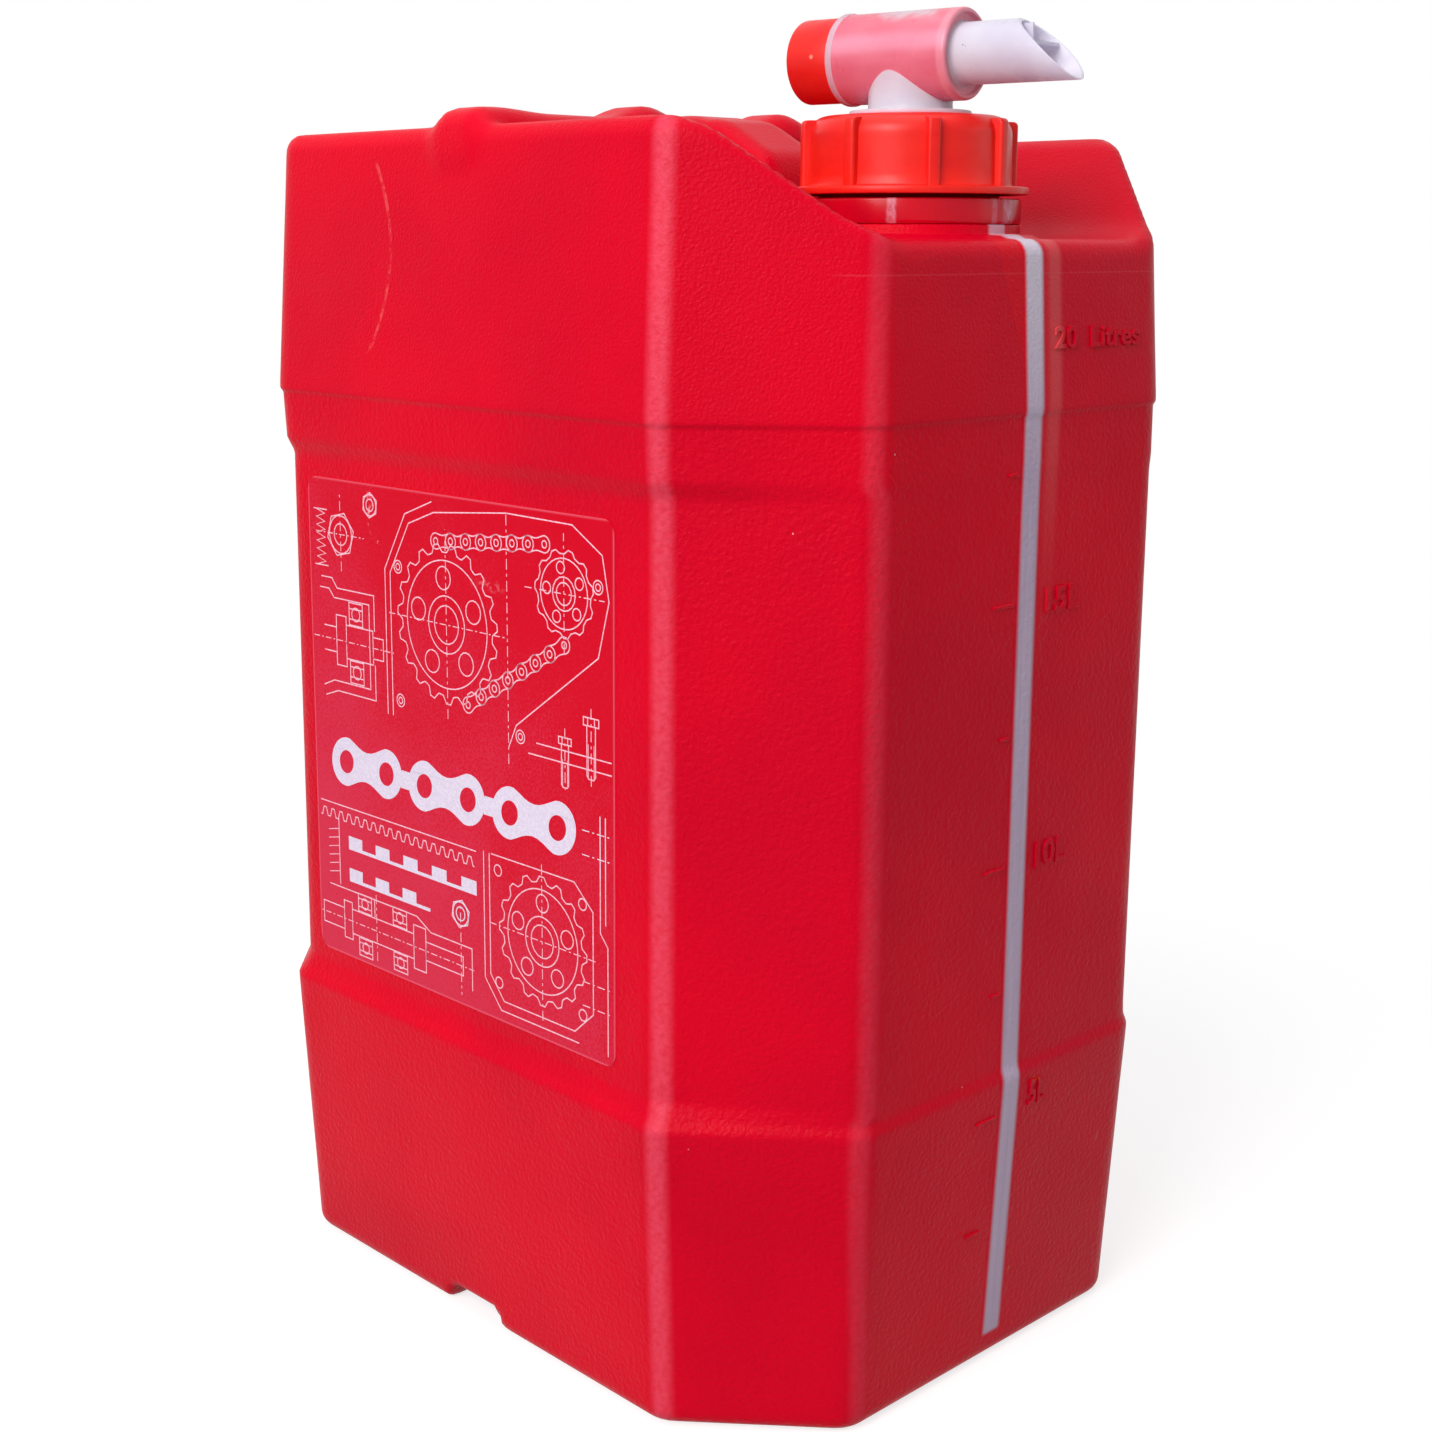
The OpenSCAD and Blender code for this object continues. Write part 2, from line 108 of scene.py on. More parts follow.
def ring_strip(a: Sequence[int], b: Sequence[int], closed: bool = True) -> list[list[int]]:
    """Quads between two rows of the same length.

    Args:
        a: Vertex indices of the first row.
        b: Vertex indices of the second row.
        closed: Whether the rows close on themselves.

    Returns:
        The quads.
    """
    n = len(a)
    return [[a[i], a[(i + 1) % n], b[(i + 1) % n], b[i]] for i in range(n if closed else n - 1)]


def revolve(profile: Profile, steps: int, centre: Pair = (0.0, 0.0),
        closed: bool = True) -> tuple[list[Spot], list[list[int]]]:
    """Turns a profile round a vertical axis.

    Args:
        profile: Radius and height of each point, anticlockwise as seen with the radius to the right.
        steps: Number of points round the axis.
        centre: Where the axis stands, X and Y.
        closed: Whether the profile closes on itself.

    Returns:
        Points and faces. Points on the axis are shared by all the turns.
    """
    verts: list[Spot] = []
    rows: list[list[int]] = []
    for radius, height in profile:
        if radius < 1e-6:
            rows.append([len(verts)] * steps)
            verts.append((centre[0], centre[1], height))
            continue
        rows.append(list(range(len(verts), len(verts) + steps)))
        for k in range(steps):
            a = tau * k / steps
            verts.append((centre[0] + radius * cos(a), centre[1] + radius * sin(a), height))
    faces: list[list[int]] = []
    pairs = list(zip(rows, rows[1:])) + ([(rows[-1], rows[0])] if closed else [])
    for low, high in pairs:
        for quad in ring_strip(low, high):
            face = list(dict.fromkeys(quad))
            if len(face) > 2:
                faces.append(face)
    return verts, faces


def arc(cx: float, cy: float, r: float, a: float, b: float, n: int) -> list[Pair]:
    """Points of an arc round (cx, cy) from angle a to angle b in degrees, in n steps."""
    return [(cx + r * cos(radians(a + (b - a) * k / n)),
        cy + r * sin(radians(a + (b - a) * k / n))) for k in range(n + 1)]


def merge_parts(*parts: tuple[Sequence, Sequence]) -> Shape:
    """Joins several point and face lists into one pair."""
    verts: list = []
    faces: list = []
    for points, loops in parts:
        base = len(verts)
        verts += [tuple(p) for p in points]
        faces += [[base + i for i in f] for f in loops]
    return verts, faces


def dress(obj: Object, material: Material, body: Body, slot: str, *nodes: str) -> Object:
    """Gives a piece its material and body, and hides the nodes that it stands for."""
    obj.data.materials.clear()
    obj.data.materials.append(material)
    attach(obj, body.value)
    if nodes:
        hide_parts(*nodes)
    LOG.info("%s: %d faces, rides on %s", obj.name, len(obj.data.polygons), body.value)
    return obj


# Fields


def round_max(a: Points, b: Points, r: float) -> Points:
    """Cut of two distance fields whose meeting edge is rounded by r."""
    u, v = np.maximum(a + r, 0), np.maximum(b + r, 0)
    return np.minimum(np.maximum(a, b), -r) + np.hypot(u, v)


def soft_min(a: Points, b: Points, k: float) -> Points:
    """Union of two distance fields with a fillet about k wide."""
    h = np.maximum(k - np.abs(a - b), 0) / k
    return np.minimum(a, b) - h * h * k / 4


def bell(u: Points) -> Points:
    """A smooth bump, 1 in the middle and 0 beyond 1."""
    return np.where(np.abs(u) < 1, (1 + np.cos(np.pi * np.clip(u, -1, 1))) / 2, 0)


def smooth_table(xs: Sequence[float], ys: Sequence[float], width: float) -> Callable[[Points], Points]:
    """A piecewise straight curve with its corners eased over a width.

    Args:
        xs: Rising positions.
        ys: Values at them.
        width: Length over which each corner is eased.

    Returns:
        A function that gives the eased curve's value.
    """
    step = 0.2
    grid = np.arange(xs[0] - 2 * width, xs[-1] + 2 * width, step)
    raw = np.interp(grid, xs, ys)
    n = max(3, int(width / step) | 1)
    kernel = np.hanning(n + 2)[1:-1]
    eased = np.convolve(np.pad(raw, n // 2, mode="edge"), kernel / kernel.sum(), mode="valid")
    return lambda z: np.interp(z, grid, eased)


def net_of_field(value: Callable[[Points], Points], xs: Points, ys: Points, zs: Points,
        rounds: int = 4) -> tuple[Points, Points]:
    """Meshes the zero level of a field on a grid with uneven steps, and settles each point on it.

    Args:
        value: The field, negative inside, for points in rows of three.
        xs: Grid positions along X.
        ys: Grid positions along Y.
        zs: Grid positions along Z.
        rounds: How often the points are moved onto the surface.

    Returns:
        The points and the quads, which face outwards.
    """
    shape = (len(xs), len(ys), len(zs))
    grid = np.stack(np.meshgrid(xs, ys, zs, indexing="ij"), -1)
    f = value(grid.reshape(-1, 3)).reshape(shape)
    inside = f < 0
    axes = (xs, ys, zs)
    total = np.zeros((shape[0] - 1, shape[1] - 1, shape[2] - 1, 3))
    count = np.zeros(total.shape[:3])
    for axis in range(3):
        lo = [slice(None)] * 3
        hi = [slice(None)] * 3
        lo[axis], hi[axis] = slice(0, -1), slice(1, None)
        a, b = f[tuple(lo)], f[tuple(hi)]
        cross = (a < 0) != (b < 0)
        t = np.where(cross, a / np.where(cross, a - b, 1), 0)
        place = grid[tuple(lo)].copy()
        gap = np.diff(axes[axis])
        place[..., axis] += t * gap.reshape([-1 if k == axis else 1 for k in range(3)])
        others = [k for k in range(3) if k != axis]
        for du in (0, 1):
            for dv in (0, 1):
                pick = [slice(None)] * 3
                for k, d in zip(others, (du, dv)):
                    pick[k] = slice(d, d + shape[k] - 1)
                total += np.where(cross[tuple(pick)][..., None], place[tuple(pick)], 0)
                count += cross[tuple(pick)]
    used = count > 0
    index = np.full(count.shape, -1)
    index[used] = np.arange(used.sum())
    points = total[used] / count[used][:, None]
    quads = []
    for axis in range(3):
        u, v = (axis + 1) % 3, (axis + 2) % 3
        lo = [slice(1, -1)] * 3
        hi = [slice(1, -1)] * 3
        lo[axis], hi[axis] = slice(0, -1), slice(1, None)
        a, b = inside[tuple(lo)], inside[tuple(hi)]
        where = np.argwhere(a != b)
        flip = a[tuple(where.T)]
        cell = where.copy()
        cell[:, u] += 1
        cell[:, v] += 1

        def corner(du: int, dv: int) -> Points:
            """Cell index beside the crossed edge."""
            c = cell.copy()
            c[:, u] -= du
            c[:, v] -= dv
            return index[c[:, 0], c[:, 1], c[:, 2]]

        ring = np.stack([corner(1, 1), corner(0, 1), corner(0, 0), corner(1, 0)], 1)
        quads.append(np.where(flip[:, None], ring, ring[:, ::-1]))
    eye = np.eye(3) * 0.05
    for _ in range(rounds):
        here = value(points)
        slope = np.stack([value(points + e) - value(points - e) for e in eye], 1) / 0.1
        size = np.maximum((slope ** 2).sum(1), 0.05)
        step = np.clip(here / size, -1.2, 1.2)
        points = points - step[:, None] * slope
    return points, np.concatenate(quads)


def zip_loops(outer: Sequence[int], inner: Sequence[int], points: Points, centre: Pair,
        up: bool) -> list[list[int]]:
    """Triangles between two loops round one upright axis.

    Args:
        outer: Vertex indices of one loop.
        inner: Vertex indices of the other loop.
        points: All the points.
        centre: The axis, X and Y.
        up: Whether the faces look up.

    Returns:
        The triangles.
    """
    def by_angle(loop: Sequence[int]) -> list[tuple[float, int]]:
        """The loop's vertices in order of their angle."""
        return sorted((atan2(points[i][1] - centre[1], points[i][0] - centre[0]), i) for i in loop)

    a, b = by_angle(outer), by_angle(inner)
    faces: list[list[int]] = []
    i = j = 0
    while i < len(a) or j < len(b):
        next_a = a[(i + 1) % len(a)][0] + (2 * pi if i + 1 >= len(a) else 0)
        next_b = b[(j + 1) % len(b)][0] + (2 * pi if j + 1 >= len(b) else 0)
        here_a, here_b = a[i % len(a)][1], b[j % len(b)][1]
        if j >= len(b) or (i < len(a) and next_a <= next_b):
            faces.append([here_a, a[(i + 1) % len(a)][1], here_b])
            i += 1
        else:
            faces.append([here_a, b[(j + 1) % len(b)][1], here_b])
            j += 1
    return faces if up else [f[::-1] for f in faces]


# Finishes


def linear(red: float, green: float, blue: float) -> Spot:
    """A colour written as 0 to 255 display values, as scene values."""
    def one(v: float) -> float:
        """One channel."""
        v /= 255
        return v / 12.92 if v <= 0.04045 else ((v + 0.055) / 1.055) ** 2.4
    return one(red), one(green), one(blue)


class Recipe:
    """Short names for the nodes of one material, which all read the piece's object coordinates."""

    def __init__(self, name: str) -> None:
        """Starts a material with its shader and coordinates."""
        self.material = bpy.data.materials.new(name)
        self.material.use_nodes = True
        self.tree = self.material.node_tree
        self.shader = self.tree.nodes["Principled BSDF"]
        self.place = self.tree.nodes.new("ShaderNodeTexCoord").outputs["Object"]
        split = self.tree.nodes.new("ShaderNodeSeparateXYZ")
        self.tree.links.new(self.place, split.inputs[0])
        self.x, self.y, self.z = split.outputs

    def put(self, socket: Socket, value: object) -> None:
        """Sets a socket from a number, a colour or another socket."""
        if isinstance(value, Socket):
            self.tree.links.new(value, socket)
        elif isinstance(value, tuple) and socket.type == "RGBA":
            socket.default_value = (*value, 1) if len(value) == 3 else value
        else:
            socket.default_value = value

    def math(self, kind: str, a: object, b: object = 0.0, c: object = 0.0) -> Socket:
        """One Math node."""
        node = self.tree.nodes.new("ShaderNodeMath")
        node.operation = kind
        for socket, value in zip(node.inputs, (a, b, c)):
            self.put(socket, value)
        return node.outputs[0]

    def add(self, a: object, b: object) -> Socket:
        """The sum of two values."""
        return self.math("ADD", a, b)

    def sub(self, a: object, b: object) -> Socket:
        """The first value less the second."""
        return self.math("SUBTRACT", a, b)

    def mul(self, a: object, b: object) -> Socket:
        """The product of two values."""
        return self.math("MULTIPLY", a, b)

    def far(self, a: object, b: object) -> Socket:
        """The length of a pair of offsets."""
        return self.math("SQRT", self.add(self.mul(a, a), self.mul(b, b)))

    def node(self, kind: str, *values: object) -> Socket:
        """Adds a node, fills its inputs in order and returns its first output."""
        node = self.tree.nodes.new(kind)
        for socket, value in zip(node.inputs, values):
            self.put(socket, value)
        return node.outputs[0]

    def shade(self, name: str, value: object) -> None:
        """Sets one socket of the shader."""
        self.put(self.shader.inputs[name], value)

    def surface(self, shader: Socket) -> Material:
        """Lets another shader be the surface, and returns the material."""
        out = next(n for n in self.tree.nodes if n.bl_idname == "ShaderNodeOutputMaterial")
        self.put(out.inputs["Surface"], shader)
        return self.material

    def tint(self, colour: object, mask: object, strength: float, target: Spot) -> Socket:
        """Draws a colour towards a display colour where a mask covers it."""
        return self.mix(self.mul(mask, strength), colour, linear(*target))

    def span(self, value: object, low: float, high: float, to_low: float = 0.0,
            to_high: float = 1.0) -> Socket:
        """Eases a value between two limits."""
        node = self.tree.nodes.new("ShaderNodeMapRange")
        node.interpolation_type = "SMOOTHSTEP"
        for socket, v in zip(node.inputs[:5], (value, low, high, to_low, to_high)):
            self.put(socket, v)
        return node.outputs[0]

    def band(self, value: object, low: float, high: float, soft: float) -> Socket:
        """1 between two limits and 0 outside, eased over a width."""
        rise = self.span(value, low - soft / 2, low + soft / 2)
        fall = self.span(value, high - soft / 2, high + soft / 2, 1.0, 0.0)
        return self.mul(rise, fall)

    def both(self, *values: object) -> object:
        """The product of several masks."""
        result = values[0]
        for value in values[1:]:
            result = self.mul(result, value)
        return result

    def noise(self, scale: float, detail: float = 2.0, rough: float = 0.5, stretch: tuple = (1, 1, 1),
            kind: str = "Fac") -> Socket:
        """Noise with that many features a metre."""
        node = self.tree.nodes.new("ShaderNodeTexNoise")
        node.inputs["Scale"].default_value = scale
        node.inputs["Detail"].default_value = detail
        node.inputs["Roughness"].default_value = rough
        if stretch == (1, 1, 1):
            self.tree.links.new(self.place, node.inputs["Vector"])
        else:
            mapping = self.tree.nodes.new("ShaderNodeMapping")
            mapping.inputs["Scale"].default_value = stretch
            self.tree.links.new(self.place, mapping.inputs["Vector"])
            self.tree.links.new(mapping.outputs[0], node.inputs["Vector"])
        return node.outputs[kind]

    def cells(self, scale: float, output: str = "Distance", feature: str = "F1") -> Socket:
        """Cell pattern with that many cells a metre."""
        node = self.tree.nodes.new("ShaderNodeTexVoronoi")
        node.feature = feature
        node.inputs["Scale"].default_value = scale
        self.tree.links.new(self.place, node.inputs["Vector"])
        return node.outputs[output]

    def mix(self, share: object, a: object, b: object, kind: str = "MIX") -> Socket:
        """Mixes two colours."""
        node = self.tree.nodes.new("ShaderNodeMix")
        node.data_type = "RGBA"
        node.blend_type = kind
        self.put(node.inputs["Factor"], share)
        self.put(node.inputs["A"], a)
        self.put(node.inputs["B"], b)
        return node.outputs["Result"]

    def bump(self, height: object, depth: float, strength: object = 1.0,
            under: Socket | None = None) -> Socket:
        """Bumps the surface by a height of that depth in metres."""
        node = self.tree.nodes.new("ShaderNodeBump")
        node.inputs["Distance"].default_value = depth
        self.put(node.inputs["Strength"], strength)
        self.put(node.inputs["Height"], height)
        if under is not None:
            self.tree.links.new(under, node.inputs["Normal"])
        return node.outputs[0]

    def specks(self, scale: float, size: float, share: float) -> Socket:
        """Mask of tiny scattered specks.

        Args:
            scale: Cells a metre.
            size: A speck's size as a share of its cell.
            share: Share of the cells that have one.

        Returns:
            The mask.
        """
        near = self.span(self.cells(scale), size * 0.6, size, 1.0, 0.0)
        pick = self.tree.nodes.new("ShaderNodeSeparateColor")
        self.tree.links.new(self.cells(scale, "Color"), pick.inputs[0])
        return self.both(near, self.math("GREATER_THAN", pick.outputs[0], 1 - share))


@dataclass(frozen=True)
class RedPolyethylene:
    """Blown red polyethylene with a moulded grain, its colour bands beside the strip, light wear, and
    painted highlights down two upright edges.
    """

    colour: Spot = (222, 0, 36)
    deep: Spot = (208, 0, 36)
    strip: Spot = (206, 186, 208)
    grain: float = 620.0
    fine_grain: float = 1050.0
    roughness: float = 0.36
    sheen: float = 0.07

    def build(self, sizes: "CanSizes") -> Material:
        """Makes the material. The strip's own piece has it too, so that the band runs on without a seam."""
        r = Recipe("can_polyethylene")
        front = r.both(r.span(r.y, -0.128, -0.134), r.span(r.z, 0.0085, 0.0105))
        cloud = r.noise(9.0, 3.0, 0.55)
        colour = r.mix(r.span(cloud, 0.35, 0.7), linear(*self.colour), linear(*self.deep))
        x = r.add(r.x, r.mul(r.sub(r.noise(14.0, 1.0), 0.5), 0.0016))
        height = r.sub(r.z, 0.3)
        left = r.span(r.z, 0.332, 0.374, -0.0028, -0.0140)
        wedge = r.both(r.span(r.z, 0.322, 0.340), front, r.span(r.sub(x, left), -0.0009, 0.0009),
            r.span(x, -0.0008, -0.0020))
        colour = r.tint(colour, wedge, 0.75, (226, 2, 30))
        pale = r.both(front, r.band(x, 0.0100, 0.0160, 0.003), r.span(height, -0.06, 0.05))
        colour = r.tint(colour, pale, 0.34, (232, 120, 120))
        near = r.both(front, r.band(x, 0.0060, 0.0105, 0.003), r.span(height, -0.10, 0.05))
        colour = r.tint(colour, near, 0.22, (226, 70, 80))
        hair = r.both(front, r.band(r.z, 0.3638, 0.3642, 0.0004))
        colour = r.tint(colour, hair, 0.12, (240, 120, 130))
        streak = r.noise(60.0, 2.0, 0.5, (12, 1, 0.5))
        band = r.both(front, r.band(r.x, -0.0016, 0.0066, 0.0024))
        tint = r.mix(r.span(streak, 0.2, 0.85), linear(*self.strip), linear(192, 172, 198))
        tint = r.mix(r.span(r.z, 0.30, 0.37), tint, linear(222, 210, 226))
        colour = r.mix(band, colour, tint)
        worn = r.specks(95.0, 0.035, 0.10)
        colour = r.tint(colour, worn, 0.75, (238, 190, 190))
        for x0, z0, wide, tall, strength in ((0.0165, 0.0985, 0.0050, 0.0020, 0.5),
                (0.0100, 0.0330, 0.0016, 0.0060, 0.75), (0.0560, 0.0640, 0.0014, 0.0060, 0.45)):
            dx = r.math("DIVIDE", r.sub(r.x, x0), wide)
            dz = r.math("DIVIDE", r.sub(r.z, z0), tall)
            far = r.far(dx, dz)
            blot = r.both(front, r.span(far, 0.2, 1.0, 1.0, 0.0),
                r.span(r.noise(420.0, 3.0, 0.7), 0.5, 0.62))
            colour = r.tint(colour, blot, strength, (176, 108, 40))
        bow = r.sub(r.z, 0.3690)
        middle = r.add(0.0358, r.mul(r.mul(bow, bow), 10.5))
        off = r.math("ABSOLUTE", r.sub(r.y, middle))
        off = r.math("ABSOLUTE", r.sub(off, r.mul(r.noise(60.0, 2.0), 0.0008)))
        scratch = r.both(r.span(off, 0.0002, 0.0006, 1.0, 0.0), r.band(r.z, 0.3370, 0.3985, 0.004),
            r.span(r.x, -0.100, -0.105), r.span(r.noise(240.0, 3.0, 0.7), 0.40, 0.62))
        colour = r.tint(colour, scratch, 0.42, (244, 110, 112))
        drawn = r.add(r.span(r.z, 0.32, 0.41, 0.0, 0.0046), r.add(r.span(r.z, 0.0, 0.100, 0.0054, 0.0),
            r.mul(r.band(r.z, 0.108, 0.302, 0.006), 0.0034)))
        # Painted highlights: pale pink bands down the left-chamfer and chamfer-front upright edges stand in
        # for lamp reflections.
        for x0, y0, strength in ((-0.1128, -0.0935, 0.36), (-0.0705, -0.1405, 0.16)):
            dx = r.sub(r.x, r.add(drawn, x0))
            dy = r.sub(r.y, r.add(r.mul(drawn, 0.4), y0))
            gap = r.far(dx, dy)
            edge_highlight = r.both(r.span(gap, 0.0012, 0.0052, 1.0, 0.0),
                r.span(r.noise(500.0, 2.0), 0.2, 0.7, 0.6, 1.0))
            colour = r.tint(colour, edge_highlight, strength, (255, 110, 138))
        over = r.both(r.span(r.z, 0.3738, 0.3750), r.span(r.z, 0.3794, 0.3784), r.span(r.y, -0.110, -0.116),
            r.band(r.x, -0.0034, 0.0046, 0.0018))
        colour = r.tint(colour, over, 0.6, (222, 196, 214))
        r.shade("Base Color", colour)
        above = r.span(r.z, sizes.line * MM - 0.0008, sizes.line * MM + 0.0008)
        coarse = r.mul(r.noise(self.grain, 3.0, 0.55), r.sub(1.0, above))
        fine = r.mul(r.noise(self.fine_grain, 2.0, 0.5), r.mul(above, 0.55))
        grain = r.add(coarse, fine)
        soft = r.bump(r.noise(26.0, 2.0), 0.0012, 0.25)
        r.shade("Normal", r.bump(grain, 0.00042, 1.0, soft))
        r.shade("Roughness", r.span(r.noise(30.0, 3.0), 0.25, 0.75, self.roughness - 0.03,
            self.roughness + 0.05))
        r.shade("Specular IOR Level", self.sheen)
        r.shade("Subsurface Weight", 0.06)
        r.shade("Subsurface Radius", (1.0, 0.12, 0.1))
        r.shade("Subsurface Scale", 0.003)
        return r.material


@dataclass(frozen=True)
class MouldedPlastic:
    """Smooth moulded plastic with a faint flow pattern and fine handling marks."""

    name: str
    colour: Spot
    second: Spot
    roughness: float = 0.3
    glow: float = 0.05
    ripple: float = 0.25
    sheen: float = 0.3

    def build(self) -> Material:
        """Makes the material."""
        return self.recipe().material

    def recipe(self) -> Recipe:
        """Mixes the finish, and hands back its recipe so that a mark can be added."""
        r = Recipe(self.name)
        flow = r.noise(34.0, 3.0, 0.6, (1, 1, 2.2))
        r.shade("Base Color", r.mix(r.span(flow, 0.35, 0.7), linear(*self.colour), linear(*self.second)))
        r.shade("Roughness", r.span(r.noise(160.0, 3.0), 0.3, 0.75, self.roughness, self.roughness + 0.1))
        marks = r.bump(r.noise(700.0, 2.0), 0.00006, self.ripple)
        r.shade("Normal", r.bump(r.noise(60.0, 2.0), 0.0006, 0.12, marks))
        r.shade("Specular IOR Level", self.sheen)
        r.shade("Subsurface Weight", self.glow)
        r.shade("Subsurface Radius", (1.0, 0.4, 0.35))
        r.shade("Subsurface Scale", 0.002)
        return r


@dataclass(frozen=True)
class MilkyPlastic:
    """Natural polyethylene of the tap, pink where the red plug shows through the barrel's wall."""

    milk: Spot = (240, 237, 246)
    cool: Spot = (232, 228, 241)
    pink: Spot = (236, 118, 140)
    deep_pink: Spot = (228, 92, 118)

    def build(self, tap: "Tap") -> Material:
        """Makes the material from the tap's own axes."""
        r = Recipe("tap_polyethylene")
        c, s = cos(radians(tap.turn)), sin(radians(tap.turn))
        x = r.sub(r.x, tap.axis[0] * MM)
        y = r.sub(r.y, tap.axis[1] * MM)
        along = r.sub(r.mul(x, s), r.mul(y, c))
        across = r.add(r.mul(x, c), r.mul(y, s))
        up = r.sub(r.z, tap.height * MM)
        far = r.far(across, up)
        outer = tap.barrel * MM
        wall = r.both(r.span(far, outer + 0.00005, outer + 0.0002, 1.0, 0.0), r.span(far, 0.0098, 0.0106),
            r.span(along, -0.0228, -0.0212), r.span(along, 0.0203, 0.0208, 1.0, 0.0))
        cloud = r.noise(70.0, 2.0)
        wave = r.add(along, r.mul(r.add(cloud, r.mul(across, 40.0)), 0.016))
        port = r.both(r.span(r.add(up, r.mul(cloud, 0.004)), 0.0110, 0.0150),
            r.band(wave, -0.003, 0.0160, 0.008), r.span(r.noise(230.0, 2.0), 0.30, 0.60, 0.45, 1.0))
        wall = r.mul(wall, r.sub(1.0, r.mul(port, 0.8)))
        rim = r.band(along, 0.0175, 0.0206, 0.0012)
        milk = r.mix(r.span(cloud, 0.3, 0.7), linear(*self.milk), linear(*self.cool))
        pink = r.mix(r.span(r.noise(40.0, 2.0, 0.5, (1, 1, 2)), 0.3, 0.7), linear(*self.pink),
            linear(*self.deep_pink))
        pink = r.tint(pink, rim, 0.45, (244, 164, 180))
        colour = r.mix(r.mul(wall, 0.95), milk, pink)
        lip = r.both(r.span(along, -0.0212, -0.0216), r.span(far, 0.012, 0.0124))
        colour = r.tint(colour, lip, 0.55, (246, 176, 196))
        # Painted highlight: a pale lavender band along the barrel's upper front stands in for a lamp's
        # reflection.
        glow = r.both(wall, r.band(up, 0.0010, 0.0062, 0.004), r.span(across, -0.004, -0.010))
        colour = r.tint(colour, glow, 0.38, (246, 186, 214))
        foot = r.both(r.span(up, -0.0178, -0.0166, 1.0, 0.0), r.span(up, -0.0190, -0.0182))
        colour = r.tint(colour, foot, 0.4, (246, 170, 190))
        for u0, v0, size, tint in ((0.0243, 0.0018, 0.00022, (60, 40, 60)),
                (0.0252, 0.0015, 0.00014, (90, 70, 90))):
            du, dv = r.sub(along, u0), r.sub(up, v0)
            gap = r.far(du, dv)
            dot = r.both(r.span(gap, size * 0.6, size, 1.0, 0.0), r.span(across, -0.001, -0.002))
            colour = r.mix(dot, colour, linear(*tint))
        r.shade("Base Color", colour)
        r.shade("Roughness", r.span(r.noise(120.0, 2.0), 0.3, 0.7, 0.24, 0.32))
        r.shade("Normal", r.bump(r.noise(90.0, 2.0), 0.0004, 0.12))
        r.shade("Specular IOR Level", 0.3)
        through = r.node("ShaderNodeBsdfTranslucent", colour)
        share = r.sub(0.34, r.mul(wall, 0.26))
        return r.surface(r.node("ShaderNodeMixShader", share, r.shader.outputs[0], through))


@dataclass(frozen=True)
class RingPlastic:
    """Glossy crimson of the ring on the neck, with two painted pale highlight streaks down its front."""

    def build(self, centre: Pair) -> Material:
        """Makes the material from the angle round the neck."""
        r = Recipe("ring_polypropylene")
        x = r.sub(r.x, centre[0] * MM)
        y = r.sub(r.y, centre[1] * MM)
        angle = r.mul(r.math("ARCTAN2", y, x), 180 / pi)
        colour = r.mix(r.span(r.noise(50.0, 3.0), 0.35, 0.7), linear(204, 0, 32), linear(184, 0, 32))
        highlight_mottle = r.span(r.noise(420.0, 3.0, 0.75, (1, 1, 0.6)), 0.42, 0.62)
        # Painted highlights: mottled pale streaks at fixed angles round the neck stand in for reflections on
        # the glossy ring.
        for middle, half, strength in ((-148.0, 2.2, 0.42), (-80.0, 4.6, 0.5), (-92.0, 2.0, 0.2)):
            streak = r.band(angle, middle - half, middle + half, half * 0.8)
            share = r.mul(streak, r.add(0.35, r.mul(highlight_mottle, 0.65)))
            colour = r.tint(colour, share, strength, (232, 190, 216))
        r.shade("Base Color", colour)
        r.shade("Roughness", 0.24)
        r.shade("Specular IOR Level", 0.22)
        r.shade("Normal", r.bump(r.noise(200.0, 2.0), 0.0001, 0.25))
        return r.material


@dataclass(frozen=True)
class LabelFilm:
    """Frosted red film, mottled and lighter towards its lower left corner, with a bright cut edge."""

    dark: Spot = (212, 0, 34)
    light: Spot = (216, 46, 76)

    def build(self, label: "Label") -> Material:
        """Makes the material."""
        r = Recipe("label_film")
        u = r.sub(label.middle[0] * MM, r.y)
        v = r.sub(r.z, label.middle[1] * MM)
        lean = r.mul(r.add(r.mul(u, 3.2), r.mul(v, 4.6)), -1.0)
        fade = r.add(0.42, r.add(lean, r.mul(r.sub(r.noise(30.0, 3.0), 0.5), 0.9)))
        mottle = r.mul(r.sub(r.noise(1150.0, 2.0, 0.7), 0.5), 2.2)
        colour = r.mix(r.span(r.add(fade, mottle), 0.0, 1.0), linear(*self.dark), linear(*self.light))
        w, h = label.wide / 2 * MM, label.tall / 2 * MM
        side = r.sub(w, r.math("ABSOLUTE", u))
        end = r.sub(h, r.math("ABSOLUTE", v))
        near = r.math("MINIMUM", side, end)
        colour = r.tint(colour, r.span(near, 0.0003, 0.0011, 1.0, 0.0), 0.55, (240, 110, 132))
        for u0, v0, a, b, strength in ((-0.044, 0.079, 0.0022, 0.010, 0.75),
                (-0.040, 0.069, 0.0020, 0.0022, 0.9), (0.020, 0.060, 0.012, 0.003, 0.25)):
            du = r.math("DIVIDE", r.sub(u, u0), a)
            dv = r.math("DIVIDE", r.sub(v, v0), b)
            gap = r.far(du, dv)
            blot = r.both(r.span(gap, 0.3, 1.0, 1.0, 0.0), r.span(r.noise(360.0, 3.0, 0.7), 0.48, 0.62))
            colour = r.tint(colour, blot, strength, (244, 176, 186))
        r.shade("Base Color", colour)
        r.shade("Roughness", 0.42)
        r.shade("Specular IOR Level", 0.1)
        r.shade("Normal", r.bump(r.noise(1150.0, 2.0, 0.7), 0.00005, 0.5))
        return r.material


